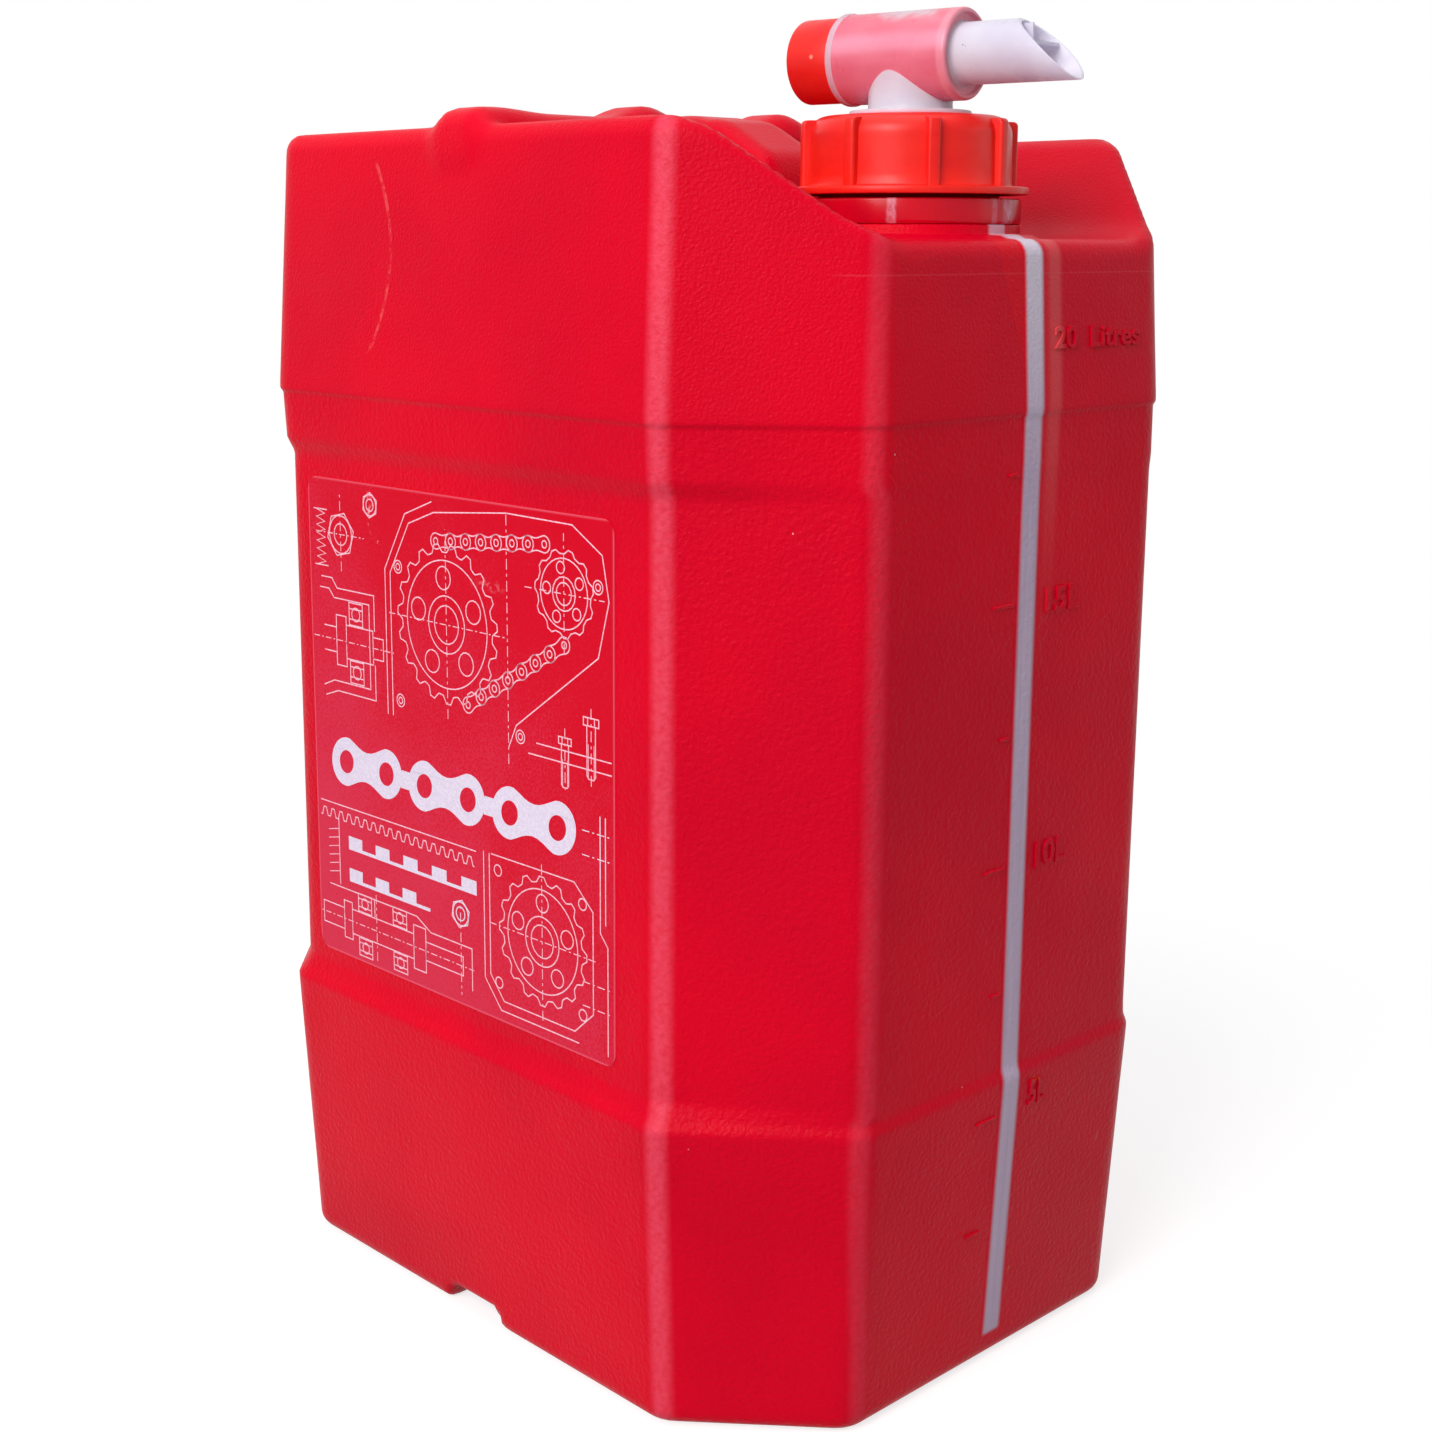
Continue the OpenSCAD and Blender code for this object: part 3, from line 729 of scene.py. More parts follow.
@dataclass(frozen=True)
class LabelInk:
    """Pale print: fine lines a little pink, bold shapes lavender with a fine mottle."""

    fine: Spot = (250, 206, 220)
    bold: Spot = (222, 208, 232)

    def build(self, label: "Label") -> Material:
        """Makes the material."""
        r = Recipe("label_ink")
        middle = label.middle[1] * MM
        broad = r.band(r.z, middle - 0.0262, middle - 0.0018, 0.0002)
        bars = r.both(r.band(r.z, middle - 0.0590, middle - 0.0410, 0.0002),
            r.band(r.y, (label.middle[0] - 12.2) * MM, (label.middle[0] + 62.2) * MM, 0.0002))
        broad = r.math("MAXIMUM", broad, bars)
        mottle = r.noise(1300.0, 2.0, 0.7)
        bold = r.mix(r.span(mottle, 0.35, 0.7), linear(*self.bold), linear(236, 226, 240))
        fine = r.mix(r.span(r.noise(900.0, 1.0), 0.3, 0.7), linear(*self.fine), linear(240, 172, 194))
        r.shade("Base Color", r.mix(broad, fine, bold))
        r.shade("Roughness", 0.5)
        return r.material


@dataclass(frozen=True)
class KnobPlastic:
    """The plug's orange-red, with the pale gate mark on the knob."""

    colour: Spot = (232, 40, 32)
    second: Spot = (222, 24, 26)

    def build(self, tap: "Tap") -> Material:
        """Makes the material."""
        r = MouldedPlastic("plug_polypropylene", self.colour, self.second, 0.34).recipe()
        gap = r.tree.nodes.new("ShaderNodeVectorMath")
        gap.operation = "DISTANCE"
        r.put(gap.inputs[0], r.place)
        gap.inputs[1].default_value = [c * MM for c in tap.placed([(-tap.knob, -29.4, 0.6)])[0]]
        plain = r.shader.inputs["Base Color"].links[0].from_socket
        mark = r.span(gap.outputs["Value"], 0.0004, 0.0009, 1.0, 0.0)
        r.shade("Base Color", r.tint(plain, mark, 0.85, (250, 150, 130)))
        return r.material


# Can


@dataclass(frozen=True)
class CanSizes:
    """Sizes of the blown can, in millimetres, with its middle at the origin."""

    width: float = 229.0
    depth: float = 292.5
    crest: float = 410.0
    wall: float = 2.0
    corner_x: float = 44.5
    corner_y: float = 49.0
    edge: float = 13.0
    base_edge: float = 5.0
    top_edge: float = 7.0
    ridge: float = 102.0
    taper: float = 5.5
    panel: float = 3.6
    panel_top: float = 303.0
    line: float = 321.5
    lean: float = 5.0
    shelf: float = 374.2
    shelf_half: float = 67.0
    flank_angle: float = 46.0
    dip: float = 352.2
    dip_back: float = 36.0
    front_slope: float = 56.0
    rear_slope: float = 38.0
    grip_half: float = 14.0
    grip_top: float = 413.7
    grip_under: float = 393.2
    grip_end: float = 110.1
    hump: float = 4.2
    hump_x: float = 33.0
    spine_half: float = 17.0
    spine_front: float = -49.95
    groove: float = 8.0
    recess: float = 3.0
    rim: float = 24.0
    neck_y: float = -94.95
    foot: float = 40.7
    ledge: float = 35.7
    neck: float = 28.8
    bore: float = 26.2
    neck_top: float = 407.3


@dataclass
class Can:
    """The blown red can: its outer skin, lining and neck as one closed shell."""

    size: CanSizes = field(default_factory=CanSizes)

    def __post_init__(self) -> None:
        """Prepares the eased tables of how far each wall is drawn in at each height."""
        s = self.size
        panel_end = s.panel_top
        rows = [(-20, s.taper, s.taper, 0.39 * s.taper, 0.44 * s.taper),
            (0, s.taper, s.taper, 0.39 * s.taper, 0.44 * s.taper), (s.ridge - 2, 0.1, 0.1, 0.04, 0.04),
            (s.ridge + 1, 0, 0, 0, 0), (s.ridge + 4, 2.0, 1.1, 1.2, 0.4),
            (s.ridge + 9, s.panel, 1.1, 3.0, 0.5), (panel_end - 4, s.panel, 0.8, 3.0, 0.4),
            (panel_end + 1, 1.6, 0.6, 1.2, 0.3), (s.line - 1.2, 0.9, 0.7, 0.6, 0.4), (s.line, 0, 0, 0, 0),
            (s.line + 3, 0.1, 0.1, 0.04, 0.04), (s.crest, s.lean, s.lean, 0.39 * s.lean, 0.44 * s.lean),
            (s.crest + 20, s.lean, s.lean, 0.39 * s.lean, 0.44 * s.lean)]
        heights = [r[0] for r in rows]
        self.drawn = [smooth_table(heights, [r[k] for r in rows], 1.4) for k in (1, 2, 3, 4)]
        f = s.spine_front
        self.spine_top = smooth_table([f - 4, f, f + 2, f + 6, -34, -24, -18, 0],
            [390.4, 391, 397.4, 402.4, 407.9, 413.2, 414.4, 414.4], 6.0)

    def side(self, x: Points, y: Points, z: Points) -> Points:
        """Distance to the eight walls, with the upright edges rounded."""
        s = self.size
        sx, sy, ky, kx = (table(z) for table in self.drawn)
        ax, ay = np.abs(x), np.abs(y)
        # the octagon drawn in by the edge radius: its two corners in this quarter
        inset = s.edge
        x1, y1 = s.width / 2 - sx - inset, s.depth / 2 - sy - inset
        x0, y0 = s.width / 2 - s.corner_x - kx, s.depth / 2 - s.corner_y - ky
        dx, dy = (s.width / 2 - sx) - x0, (s.depth / 2 - sy) - y0
        length = np.hypot(dx, dy)
        nx, ny = dy / length, dx / length
        c = nx * (s.width / 2 - sx) + ny * y0 - inset
        cy, cx = (c - nx * x1) / ny, (c - ny * y1) / nx
        flat = np.maximum(np.maximum(ax - x1, ay - y1), nx * ax + ny * ay - c)
        # nearest point on the chamfer's piece, for points outside it
        t = np.clip((ax - cx) * ny - (ay - y1) * nx, 0, np.hypot(x1 - cx, y1 - cy))
        px, py = cx + t * ny, y1 - t * nx
        corner = np.hypot(ax - px, ay - py)
        beside = ((ax > cx) | (ay > cy)) & (flat > 0)
        end_face = (ay - y1 > 0) & (ax <= cx)
        side_face = (ax - x1 > 0) & (ay <= cy)
        out = np.where(end_face, ay - y1, np.where(side_face, ax - x1, corner))
        return np.where(flat > 0, np.where(beside | end_face | side_face, out, flat), flat) - inset

    def grip(self, x: Points, y: Points, z: Points) -> Points:
        """Distance to the grip bar across the pocket, with its two humps and its lobes on the crests."""
        s = self.size
        ax = np.abs(x)
        top = s.grip_top + s.hump * bell((ax - s.hump_x) / 17) + 1.3 * bell((ax - s.grip_end + 13) / 24)
        half, mid = (top - s.grip_under) / 2, (top + s.grip_under) / 2
        r = 9.0
        u, v = np.abs(y) - s.grip_half + r, np.abs(z - mid) - half + r
        bar = np.hypot(np.maximum(u, 0), np.maximum(v, 0)) + np.minimum(np.maximum(u, v), 0) - r
        return round_max(bar, ax - s.grip_end, 7.0)

    def spine(self, x: Points, y: Points, z: Points) -> Points:
        """Distance to the spine from the grip down to the neck."""
        s = self.size
        ridge = round_max(np.abs(x) - s.spine_half, (z - self.spine_top(y)) * 0.8, 7.0)
        return np.maximum(round_max(ridge, s.spine_front - y, 5.0), y - 2)

    def floor(self, x: Points, y: Points, z: Points) -> Points:
        """Distance to what bounds the pocket: the shelf, the finger dip, the rear slope and the flanks."""
        s = self.size
        back = s.neck_y + 43
        front = radians(s.front_slope)
        rear = radians(s.rear_slope)
        dip_front = back + (s.shelf - s.dip) / tan(front)
        shelf = round_max(z - s.shelf, (y - dip_front + (z - s.dip) / tan(front)) * sin(front), 4.0)
        slope = (z - s.dip) * cos(rear) - (y - s.dip_back) * sin(rear)
        ground = soft_min(soft_min(shelf, z - s.dip, 9.0), slope, 12.0)
        angle = radians(s.flank_angle)
        flank = (s.shelf_half - np.abs(x)) * sin(angle) + (z - s.shelf) * cos(angle)
        return soft_min(ground, flank, 9.0)

    def shell(self, p: Points) -> Points:
        """Distance to the can's outer skin without its neck, for points in rows of three."""
        s = self.size
        x, y, z = p[:, 0], p[:, 1], p[:, 2]
        side = self.side(x, y, z)
        hull = round_max(side, z - s.crest, s.top_edge)
        hull = round_max(hull, -z, s.base_edge)
        can = round_max(hull, self.floor(x, y, z), 5.0)
        foot = round_max(np.hypot(x, y - s.neck_y) - s.foot, z - s.shelf - 1.3, 0.8)
        foot = np.maximum(foot, s.shelf - 6 - z)
        can = soft_min(can, foot, 1.5)
        can = soft_min(can, self.grip(x, y, z), 3.6)
        can = soft_min(can, self.spine(x, y, z), 6.0)
        groove = np.maximum((np.abs(y) - (15.5 - np.clip(z - 1, 0, 5) * 0.5 - np.clip(z - 6, 0,
            2) * 1.25)) * 0.9, z - s.groove)
        recess = np.maximum(side + s.rim, z - s.recess)
        return round_max(round_max(can, -groove, 1.5), -recess, 1.5)

    def skin(self) -> tuple[Points, Points]:
        """Meshes the outer skin, with fine steps where bands and edges need them."""
        s = self.size
        xs = np.linspace(-s.width / 2 - 3, s.width / 2 + 3, 92)
        ys = np.linspace(-s.depth / 2 - 3, s.depth / 2 + 3, 116)
        bands = [(-3, 12, 1.5), (12, 96, 7.0), (96, 114, 1.2), (114, 296, 9.0), (296, 317, 1.5),
            (317, 325, 0.55), (325, 346, 4.0), (346, 422, 2.3)]
        zs = [bands[0][0]]
        for low, high, step in bands:
            n = max(1, round((high - low) / step))
            zs += [low + (high - low) * (k + 1) / n for k in range(n)]
        return net_of_field(self.shell, xs, ys, np.array(zs, float))

    def lining(self) -> tuple[Points, Points]:
        """Meshes the inside of the wall, coarsely, because the cap closes it."""
        s = self.size
        xs = np.linspace(-s.width / 2 - 4, s.width / 2 + 4, 32)
        ys = np.linspace(-s.depth / 2 - 4, s.depth / 2 + 4, 40)
        zs = np.concatenate([np.arange(-4, 20, 4), np.arange(20, 340, 16),
            np.arange(340, 424, 5)]).astype(float)
        points, quads = net_of_field(lambda p: self.shell(p) + s.wall, xs, ys, zs, 3)
        return points, quads[:, ::-1]

    def neck_profile(self) -> list[Pair]:
        """Radius and height from the ledge's foot up the outside, over the rim and down the bore."""
        s = self.size
        foot = s.shelf + 1.3
        ledge = foot + 3.2
        return [(s.ledge + 0.5, foot), (s.ledge + 0.1, foot + 0.3), (s.ledge, foot + 0.7),
            (s.ledge, ledge - 0.6), (s.ledge - 0.2, ledge - 0.15), (s.ledge - 0.6, ledge),
            (s.neck + 0.9, ledge), (s.neck + 0.2, ledge + 0.3), (s.neck, ledge + 0.9), (s.neck, 383.2),
            (s.neck + 0.6, 383.6), (s.neck + 1.5, 383.9), (s.neck + 1.8, 384.5), (s.neck + 1.8, 385.4),
            (s.neck + 1.5, 386.0), (s.neck + 0.5, 386.5), (s.neck, 387.0), (s.neck, s.neck_top - 0.7),
            (s.neck - 0.2, s.neck_top - 0.2), (s.neck - 0.7, s.neck_top), (s.bore + 0.7, s.neck_top),
            (s.bore + 0.2, s.neck_top - 0.2), (s.bore, s.neck_top - 0.7), (s.bore, 400.0), (s.bore, 388.0),
            (s.bore, s.shelf - 1.0), (s.bore + 0.4, s.shelf - 1.8), (s.bore + 1.2, s.shelf - 2.0)]

    def build_skin(self) -> Object:
        """Builds the whole can: outer skin, neck, bore and lining as one closed shell."""
        s = self.size
        outer, outer_faces = self.skin()
        inner, inner_faces = self.lining()
        centre = (0.0, s.neck_y)

        def open_disc(points: Points, faces: Points, radius: float) -> tuple[Points, list[int]]:
            """Drops the faces under the neck and returns those left with the hole's edge."""
            near = (np.hypot(points[:, 0], points[:, 1] - s.neck_y) < radius) & (points[:, 2] > s.shelf - 8)
            kept = faces[~near[faces].any(1)]
            edges: dict[tuple[int, int], int] = {}
            close = (np.hypot(points[:, 0], points[:, 1] - s.neck_y) < radius + 9) & (points[:,
                2] > s.shelf - 12)
            for face in kept[close[kept].any(1)]:
                for a, b in zip(face, np.roll(face, -1)):
                    key = (min(a, b), max(a, b))
                    edges[key] = edges.get(key, 0) + 1
            rim = {i for key, n in edges.items() if n == 1 for i in key if close[i]}
            return kept, sorted(int(i) for i in rim)

        outer_faces, outer_rim = open_disc(outer, outer_faces, s.ledge + 1.2)
        inner_faces, inner_rim = open_disc(inner, inner_faces, s.bore + 2.0)
        steps = 96
        neck, neck_faces = revolve(self.neck_profile(), steps, centre, closed=False)
        verts, faces = merge_parts((outer, outer_faces.tolist()), (inner, inner_faces.tolist()),
            (neck, neck_faces))
        points = np.array(verts)
        first = len(outer) + len(inner)
        low_ring = list(range(first, first + steps))
        bore_ring = list(range(len(verts) - steps, len(verts)))
        faces += zip_loops(outer_rim, low_ring, points, centre, True)
        faces += zip_loops([len(outer) + i for i in inner_rim], bore_ring, points, centre, False)
        points[:, 1] += SHIFT_Y
        return mesh_object("can_shell", points, faces, 50.0)


# Cap


def sweep_ring(rows: Sequence[Sequence[Spot]], caps: bool = True) -> Shape:
    """Lofts closed rows of equal length, and closes both ends with one face each."""
    verts = [p for row in rows for p in row]
    n = len(rows[0])
    faces: list[list[int]] = []
    for k in range(len(rows) - 1):
        faces += ring_strip(range(k * n, k * n + n), range((k + 1) * n, (k + 1) * n + n))
    if caps:
        faces.append(list(range(n))[::-1])
        faces.append(list(range((len(rows) - 1) * n, len(rows) * n)))
    return verts, faces


class Making:
    """A geometry node tree for what repeats or winds, whose result ends as a plain mesh."""

    def __init__(self, name: str, sockets: dict[str, str]) -> None:
        """Starts the tree.

        Args:
            name: The new piece's name.
            sockets: The kind of each input socket, by its name.
        """
        self.name = name
        self.tree = bpy.data.node_groups.new(name + "_making", "GeometryNodeTree")
        for label, kind in sockets.items():
            self.tree.interface.new_socket(label, in_out="INPUT", socket_type="NodeSocket" + kind)
        self.tree.interface.new_socket("Geometry", in_out="OUTPUT", socket_type="NodeSocketGeometry")
        self.given = self.tree.nodes.new("NodeGroupInput").outputs

    def node(self, kind: str, inputs: dict, out: int | str = 0, **settings: str) -> Socket:
        """Adds one node.

        Args:
            kind: The node's type.
            inputs: What each input socket is set to or linked from.
            out: The output that is handed back.
            settings: Options of the node itself.

        Returns:
            The output socket.
        """
        node = self.tree.nodes.new(kind)
        for key, value in settings.items():
            setattr(node, key, value)
        for key, value in inputs.items():
            if isinstance(value, Socket):
                self.tree.links.new(value, node.inputs[key])
            else:
                node.inputs[key].default_value = value
        return node.outputs[out]

    def finish(self, geometry: Socket, values: dict, *spent: Object) -> Object:
        """Realizes and paints the geometry, and turns it into a plain mesh object.

        Args:
            geometry: What the tree has made.
            values: The value of each input socket, by its name.
            spent: Objects that are no longer needed.

        Returns:
            The new object.
        """
        real = self.node("GeometryNodeRealizeInstances", {0: geometry})
        paint = self.node("GeometryNodeSetMaterial", {"Geometry": real, "Material": self.given["Finish"]})
        self.tree.links.new(paint, self.tree.nodes.new("NodeGroupOutput").inputs["Geometry"])
        holder = linked(self.name + "_maker", bpy.data.meshes.new(self.name + "_maker"))
        maker = holder.modifiers.new("making", "NODES")
        maker.node_group = self.tree
        for item in self.tree.interface.items_tree:
            if item.item_type == "SOCKET" and item.in_out == "INPUT":
                maker[item.identifier] = values[item.name]
        graph = bpy.context.evaluated_depsgraph_get()
        mesh = bpy.data.meshes.new_from_object(holder.evaluated_get(graph))
        mesh.name = self.name
        obj = linked(self.name, mesh)
        for old in (holder, *spent):
            bpy.data.objects.remove(old)
        return obj


def repeat_round(template: Object, name: str, count: int, turn: float, axis: Pair,
        material: Material) -> Object:
    """Repeats a template round an upright axis with a node tree, and returns it as a plain mesh.

    Args:
        template: The object to repeat, modelled where its first copy stands, about the world's axis.
        name: The new piece's name.
        count: Number of copies.
        turn: Angle of the first copy, in radians.
        axis: The axis, X and Y, in metres.
        material: The finish of all the copies.

    Returns:
        The new object. The template is removed.
    """
    making = Making(name, {"Template": "Object", "Count": "Int", "First Angle": "Float", "Axis": "Vector",
        "Finish": "Material"})
    given, node = making.given, making.node
    line = node("GeometryNodeMeshLine", {"Count": given["Count"], "Offset": (0, 0, 0)})
    points = node("GeometryNodeMeshToPoints", {"Mesh": line})
    shift = node("GeometryNodeSetPosition", {"Geometry": points, "Offset": given["Axis"]})
    step = node("ShaderNodeMath", {0: tau, 1: given["Count"]}, operation="DIVIDE")
    index = node("GeometryNodeInputIndex", {})
    angle = node("ShaderNodeMath", {0: index, 1: step, 2: given["First Angle"]}, operation="MULTIPLY_ADD")
    spin = node("ShaderNodeCombineXYZ", {"Z": angle})
    form = node("GeometryNodeObjectInfo", {"As Instance": True, "Object": given["Template"]}, "Geometry")
    copies = node("GeometryNodeInstanceOnPoints", {"Points": shift, "Instance": form, "Rotation": spin})
    return making.finish(copies, {"Template": template, "Count": count, "First Angle": turn,
        "Axis": (*axis, 0.0), "Finish": material}, template)


@dataclass
class Cap:
    """The ribbed screw cap and the ring that the sealed cap left on the neck."""

    low: float = 387.9
    top: float = 412.3
    flange: float = 38.2
    skirt: float = 32.4
    rib_out: float = 35.0
    rib_wide: float = 4.0
    ribs: int = 8
    edge: float = 6.0
    hole: float = 13.8
    inner: float = 30.6
    turn: float = 7.7
    ring_low: float = 378.7
    ring_high: float = 386.6
    ring_out: float = 35.9
    neck: float = 28.8
    axis: Pair = NECK_AXIS

    def profile(self) -> list[Pair]:
        """The cap's cross-section, round the outside and back down the inside."""
        inner, flange, skirt, hole = self.inner, self.flange, self.skirt, self.hole
        edge = self.edge
        z, t = self.low, self.top
        return ([(inner + 0.1, z + 0.2), (inner + 0.5, z), (flange - 0.5, z), (flange - 0.1, z + 0.2),
            (flange, z + 0.6), (flange, z + 1.7), (flange - 0.15, z + 2.15), (flange - 0.6, z + 2.35),
            (skirt + 1.3, z + 2.5), (skirt + 0.6, z + 2.8), (skirt + 0.3, z + 3.5), (skirt + 0.2, z + 6.0),
            (skirt, t - edge - 1.5)] + arc(skirt - edge, t - edge, edge, 0, 90, 9) + [(22.0, t + 0.05),
            (hole + 1.0, t), (hole + 0.2, t - 0.15), (hole, t - 0.5), (hole, t - 2.6),
            (hole + 0.3, t - 3.0), (inner - 1.0, t - 3.0), (inner - 0.2, t - 3.3), (inner, t - 4.0),
            (inner, 400.0), (inner, 392.0), (inner, z + 0.8)])

    def rib(self) -> Object:
        """One rib as a rounded bar that runs into the dome, pointing along -Y."""
        rows = []
        z0, z1 = self.low + 2.2, self.top - 1.4
        for z, out in ((z0, self.rib_out), (z0 + 2, self.rib_out), (z1 - 5.0, self.rib_out),
                (z1 - 1.5, self.rib_out), (z1 - 0.95, self.rib_out - 0.1), (z1 - 0.5, self.rib_out - 0.4),
                (z1 - 0.18, self.rib_out - 0.8), (z1 - 0.03, self.rib_out - 1.2), (z1, self.rib_out - 1.7)):
            half, r = self.rib_wide / 2, 1.0
            base = self.skirt - 4.2
            row = [(half, base), (half, out - r)] + arc(half - r, out - r, r, 0, 90, 4)[1:]
            row += [(-x, y) for x, y in reversed(row)]
            rows.append([(x, -y, z) for x, y in row][::-1])
        verts, faces = sweep_ring(rows)
        return mesh_object("rib_form", verts, faces, 50.0)

    def build(self, finish: Material, ring_finish: Material) -> None:
        """Builds the cap, its ribs and the ring on the neck."""
        dress(mesh_object("cap_shell", *revolve(self.profile(), 128, self.axis), 40.0), finish, Body.CAP,
            "cap_red", "screw_cap")
        ribs = repeat_round(self.rib(), "cap_ribs", self.ribs, radians(self.turn),
            (self.axis[0] * MM, self.axis[1] * MM), finish)
        ribs.data.set_sharp_from_angle(angle=radians(50))
        dress(ribs, finish, Body.CAP, "cap_red")
        z, t, r = self.ring_low, self.ring_high, self.ring_out
        inside = self.neck + 0.4
        profile = [(inside, z + 0.2), (inside + 0.3, z), (r - 0.9, z), (r - 0.3, z + 0.25),
            (r - 0.05, z + 0.8), (r, z + 1.5), (r, t - 0.9), (r - 0.12, t - 0.35), (r - 0.5, t),
            (inside + 3.0, t), (inside + 2.3, t - 0.3), (inside + 2.2, z + 3.4), (inside + 1.9, z + 3.0),
            (inside + 0.2, z + 3.0), (inside, z + 2.7)]
        dress(mesh_object("neck_seal_ring", *revolve(profile, 112, self.axis), 35.0), ring_finish, Body.CAN,
            "ring_red", "tamper_ring")
        LOG.info("cap: %d ribs", self.ribs)


# Tap


@dataclass
class Tap:
    """The milky tap: barrel, stem, foot and spout in one moulding, and the red plug with its knob."""

    height: float = 430.7
    turn: float = 7.7
    barrel: float = 14.1
    back: float = 23.5
    front: float = 20.4
    chamber: float = 12.05
    chamber_end: float = 17.4
    stem: float = 13.4
    stem_bore: float = 11.0
    foot: float = 19.4
    foot_low: float = -18.2
    foot_high: float = -16.7
    stem_low: float = -26.4
    spout: float = 9.5
    spout_bore: float = 8.0
    tip: float = 59.8
    rake: float = 20.5
    knob: float = 13.4
    knob_length: float = 16.0
    plug: float = 12.0
    axis: Pair = NECK_AXIS

    def placed(self, points: Iterable[Sequence[float]]) -> list[Spot]:
        """Moves points from the tap's own axes (X across, Y along the spout, Z up) into the part."""
        c, s = cos(radians(self.turn)), sin(radians(self.turn))
        out = []
        for across, along, up in points:
            out.append((self.axis[0] + across * c + along * s, self.axis[1] + across * s - along * c,
                self.height + up))
        return out

    def lathe(self, profile: Sequence[Pair], steps: int = 96, closed: bool = True) -> Shape:
        """Turns a profile of (place along the barrel, radius) round the barrel's axis."""
        verts, faces = revolve([(r, y) for y, r in profile], steps, closed=closed)
        return [(x, z, y) for x, y, z in verts], faces

    def barrel_part(self) -> Shape:
        """The barrel: lip at the knob's end, chamber, and the end face with its ring-shaped dish."""
        bore, end, inner, spout = self.spout_bore, self.chamber_end, self.chamber, self.spout
        b, f, r = -self.back, self.front, self.barrel
        profile = [(b + 0.3, inner), (b, inner + 0.3), (b, r + 0.1), (b + 0.15, r + 0.35),
            (b + 0.5, r + 0.45), (b + 1.6, r + 0.45), (b + 2.0, r + 0.3), (b + 2.3, r + 0.02), (b + 3.0, r)]
        profile += [(y, r) for y in (-10.0, 0.0, 10.0)]
        profile += [(f - 1.0 + 1.0 * sin(radians(a)), r - 1.0 + 1.0 * cos(radians(a))) for a in (0, 30, 60,
            90)]
        profile += [(f, r - 1.4), (f - 0.3, r - 1.65), (f - 1.1, r - 1.8), (f - 1.35, r - 2.1),
            (f - 1.4, r - 2.6), (f - 1.4, spout + 1.0), (f - 1.1, spout + 0.35), (f - 0.6, spout + 0.1),
            (f - 0.2, spout - 0.3), (f - 0.6, bore), (end + 0.4, bore), (end, bore + 0.4),
            (end, inner - 0.4), (end - 0.4, inner), (0.0, inner)]
        verts, faces = self.lathe(profile)
        return verts, [f[::-1] for f in faces]

    def spout_part(self) -> Shape:
        """The spout: a thin tube with a slanted mouth."""
        steps = 80
        rows: list[list[Spot]] = []

        def mouth(up: float) -> float:
            """How far the mouth's plane lies along the spout at a height, bowed a little outwards."""
            t = (up / self.spout + 1) / 2
            return self.tip - self.rake * t + 1.1 * sin(pi * max(0.0, min(1.0, t)))

        def row(radius: float, place: Callable[[float], float]) -> list[Spot]:
            """One ring of the tube."""
            ring = []
            for k in range(steps):
                a = tau * k / steps
                up = radius * sin(a)
                ring.append((radius * cos(a), place(up), up))
            return ring

        start = self.chamber_end + 1.0
        for share in (0.0, 0.25, 0.5, 0.75, 1.0):
            rows.append(row(self.spout, lambda up, s=share: start + (mouth(up) - 0.5 - start) * s))
        rows.append(row(self.spout - 0.12, lambda up: mouth(up) - 0.15))
        rows.append(row(self.spout - 0.4, mouth))
        rows.append(row(self.spout - 0.75, lambda up: mouth(up) - 0.1))
        rows.append(row(self.spout - 0.95, lambda up: mouth(up) - 0.5))
        for share in (0.75, 0.5, 0.25, 0.0):
            rows.append(row(self.spout_bore + 0.35 * share, lambda up,
                s=share: start + (mouth(up) - 0.8 - start) * s))
        verts, faces = sweep_ring(rows, caps=False)
        n = steps
        faces += ring_strip(range((len(rows) - 1) * n, len(rows) * n), range(n))
        return verts, faces

    def web_part(self) -> Shape:
        """The thin web across the spout's bore, which parts the air from the liquid."""
        verts: list[Spot] = []
        faces: list[list[int]] = []
        half = sqrt(self.spout_bore ** 2 - 1.75 ** 2)

        def slab(corners: Sequence[Pair], y0: float, y1: float) -> None:
            """A thin prism along the spout from a cross-section."""
            base = len(verts)
            n = len(corners)
            verts.extend([(x, y0, z) for x, z in corners] + [(x, y1, z) for x, z in corners])
            faces.extend(ring_strip(range(base, base + n), range(base + n, base + 2 * n)))
            faces.append(list(range(base, base + n))[::-1])
            faces.append(list(range(base + n, base + 2 * n)))

        end = self.tip - self.rake * 0.58
        slab([(half, 1.3), (half, 2.2), (-half, 2.2), (-half, 1.3)], self.chamber_end + 1, end)
        slab([(0.45, 2.0), (0.45, self.spout_bore), (-0.45, self.spout_bore), (-0.45, 2.0)],
            self.chamber_end + 1, self.tip - self.rake * 0.8)
        return verts, faces

    def stem_part(self) -> Shape:
        """The stem: a tube from below the cap's top up to the barrel's wall, with its foot and snap bead."""
        bore, base, under, over = self.stem_bore, self.stem_low, self.foot_low, self.foot_high
        stem, foot = self.stem, self.foot
        steps = 96
        reach = self.chamber + 0.9

        def top(radius: float, a: float) -> float:
            """Height at which the stem meets the barrel's wall."""
            across = radius * cos(a)
            return -sqrt(max(reach ** 2 - across ** 2, 0.0)) if abs(across) < reach else 0.0

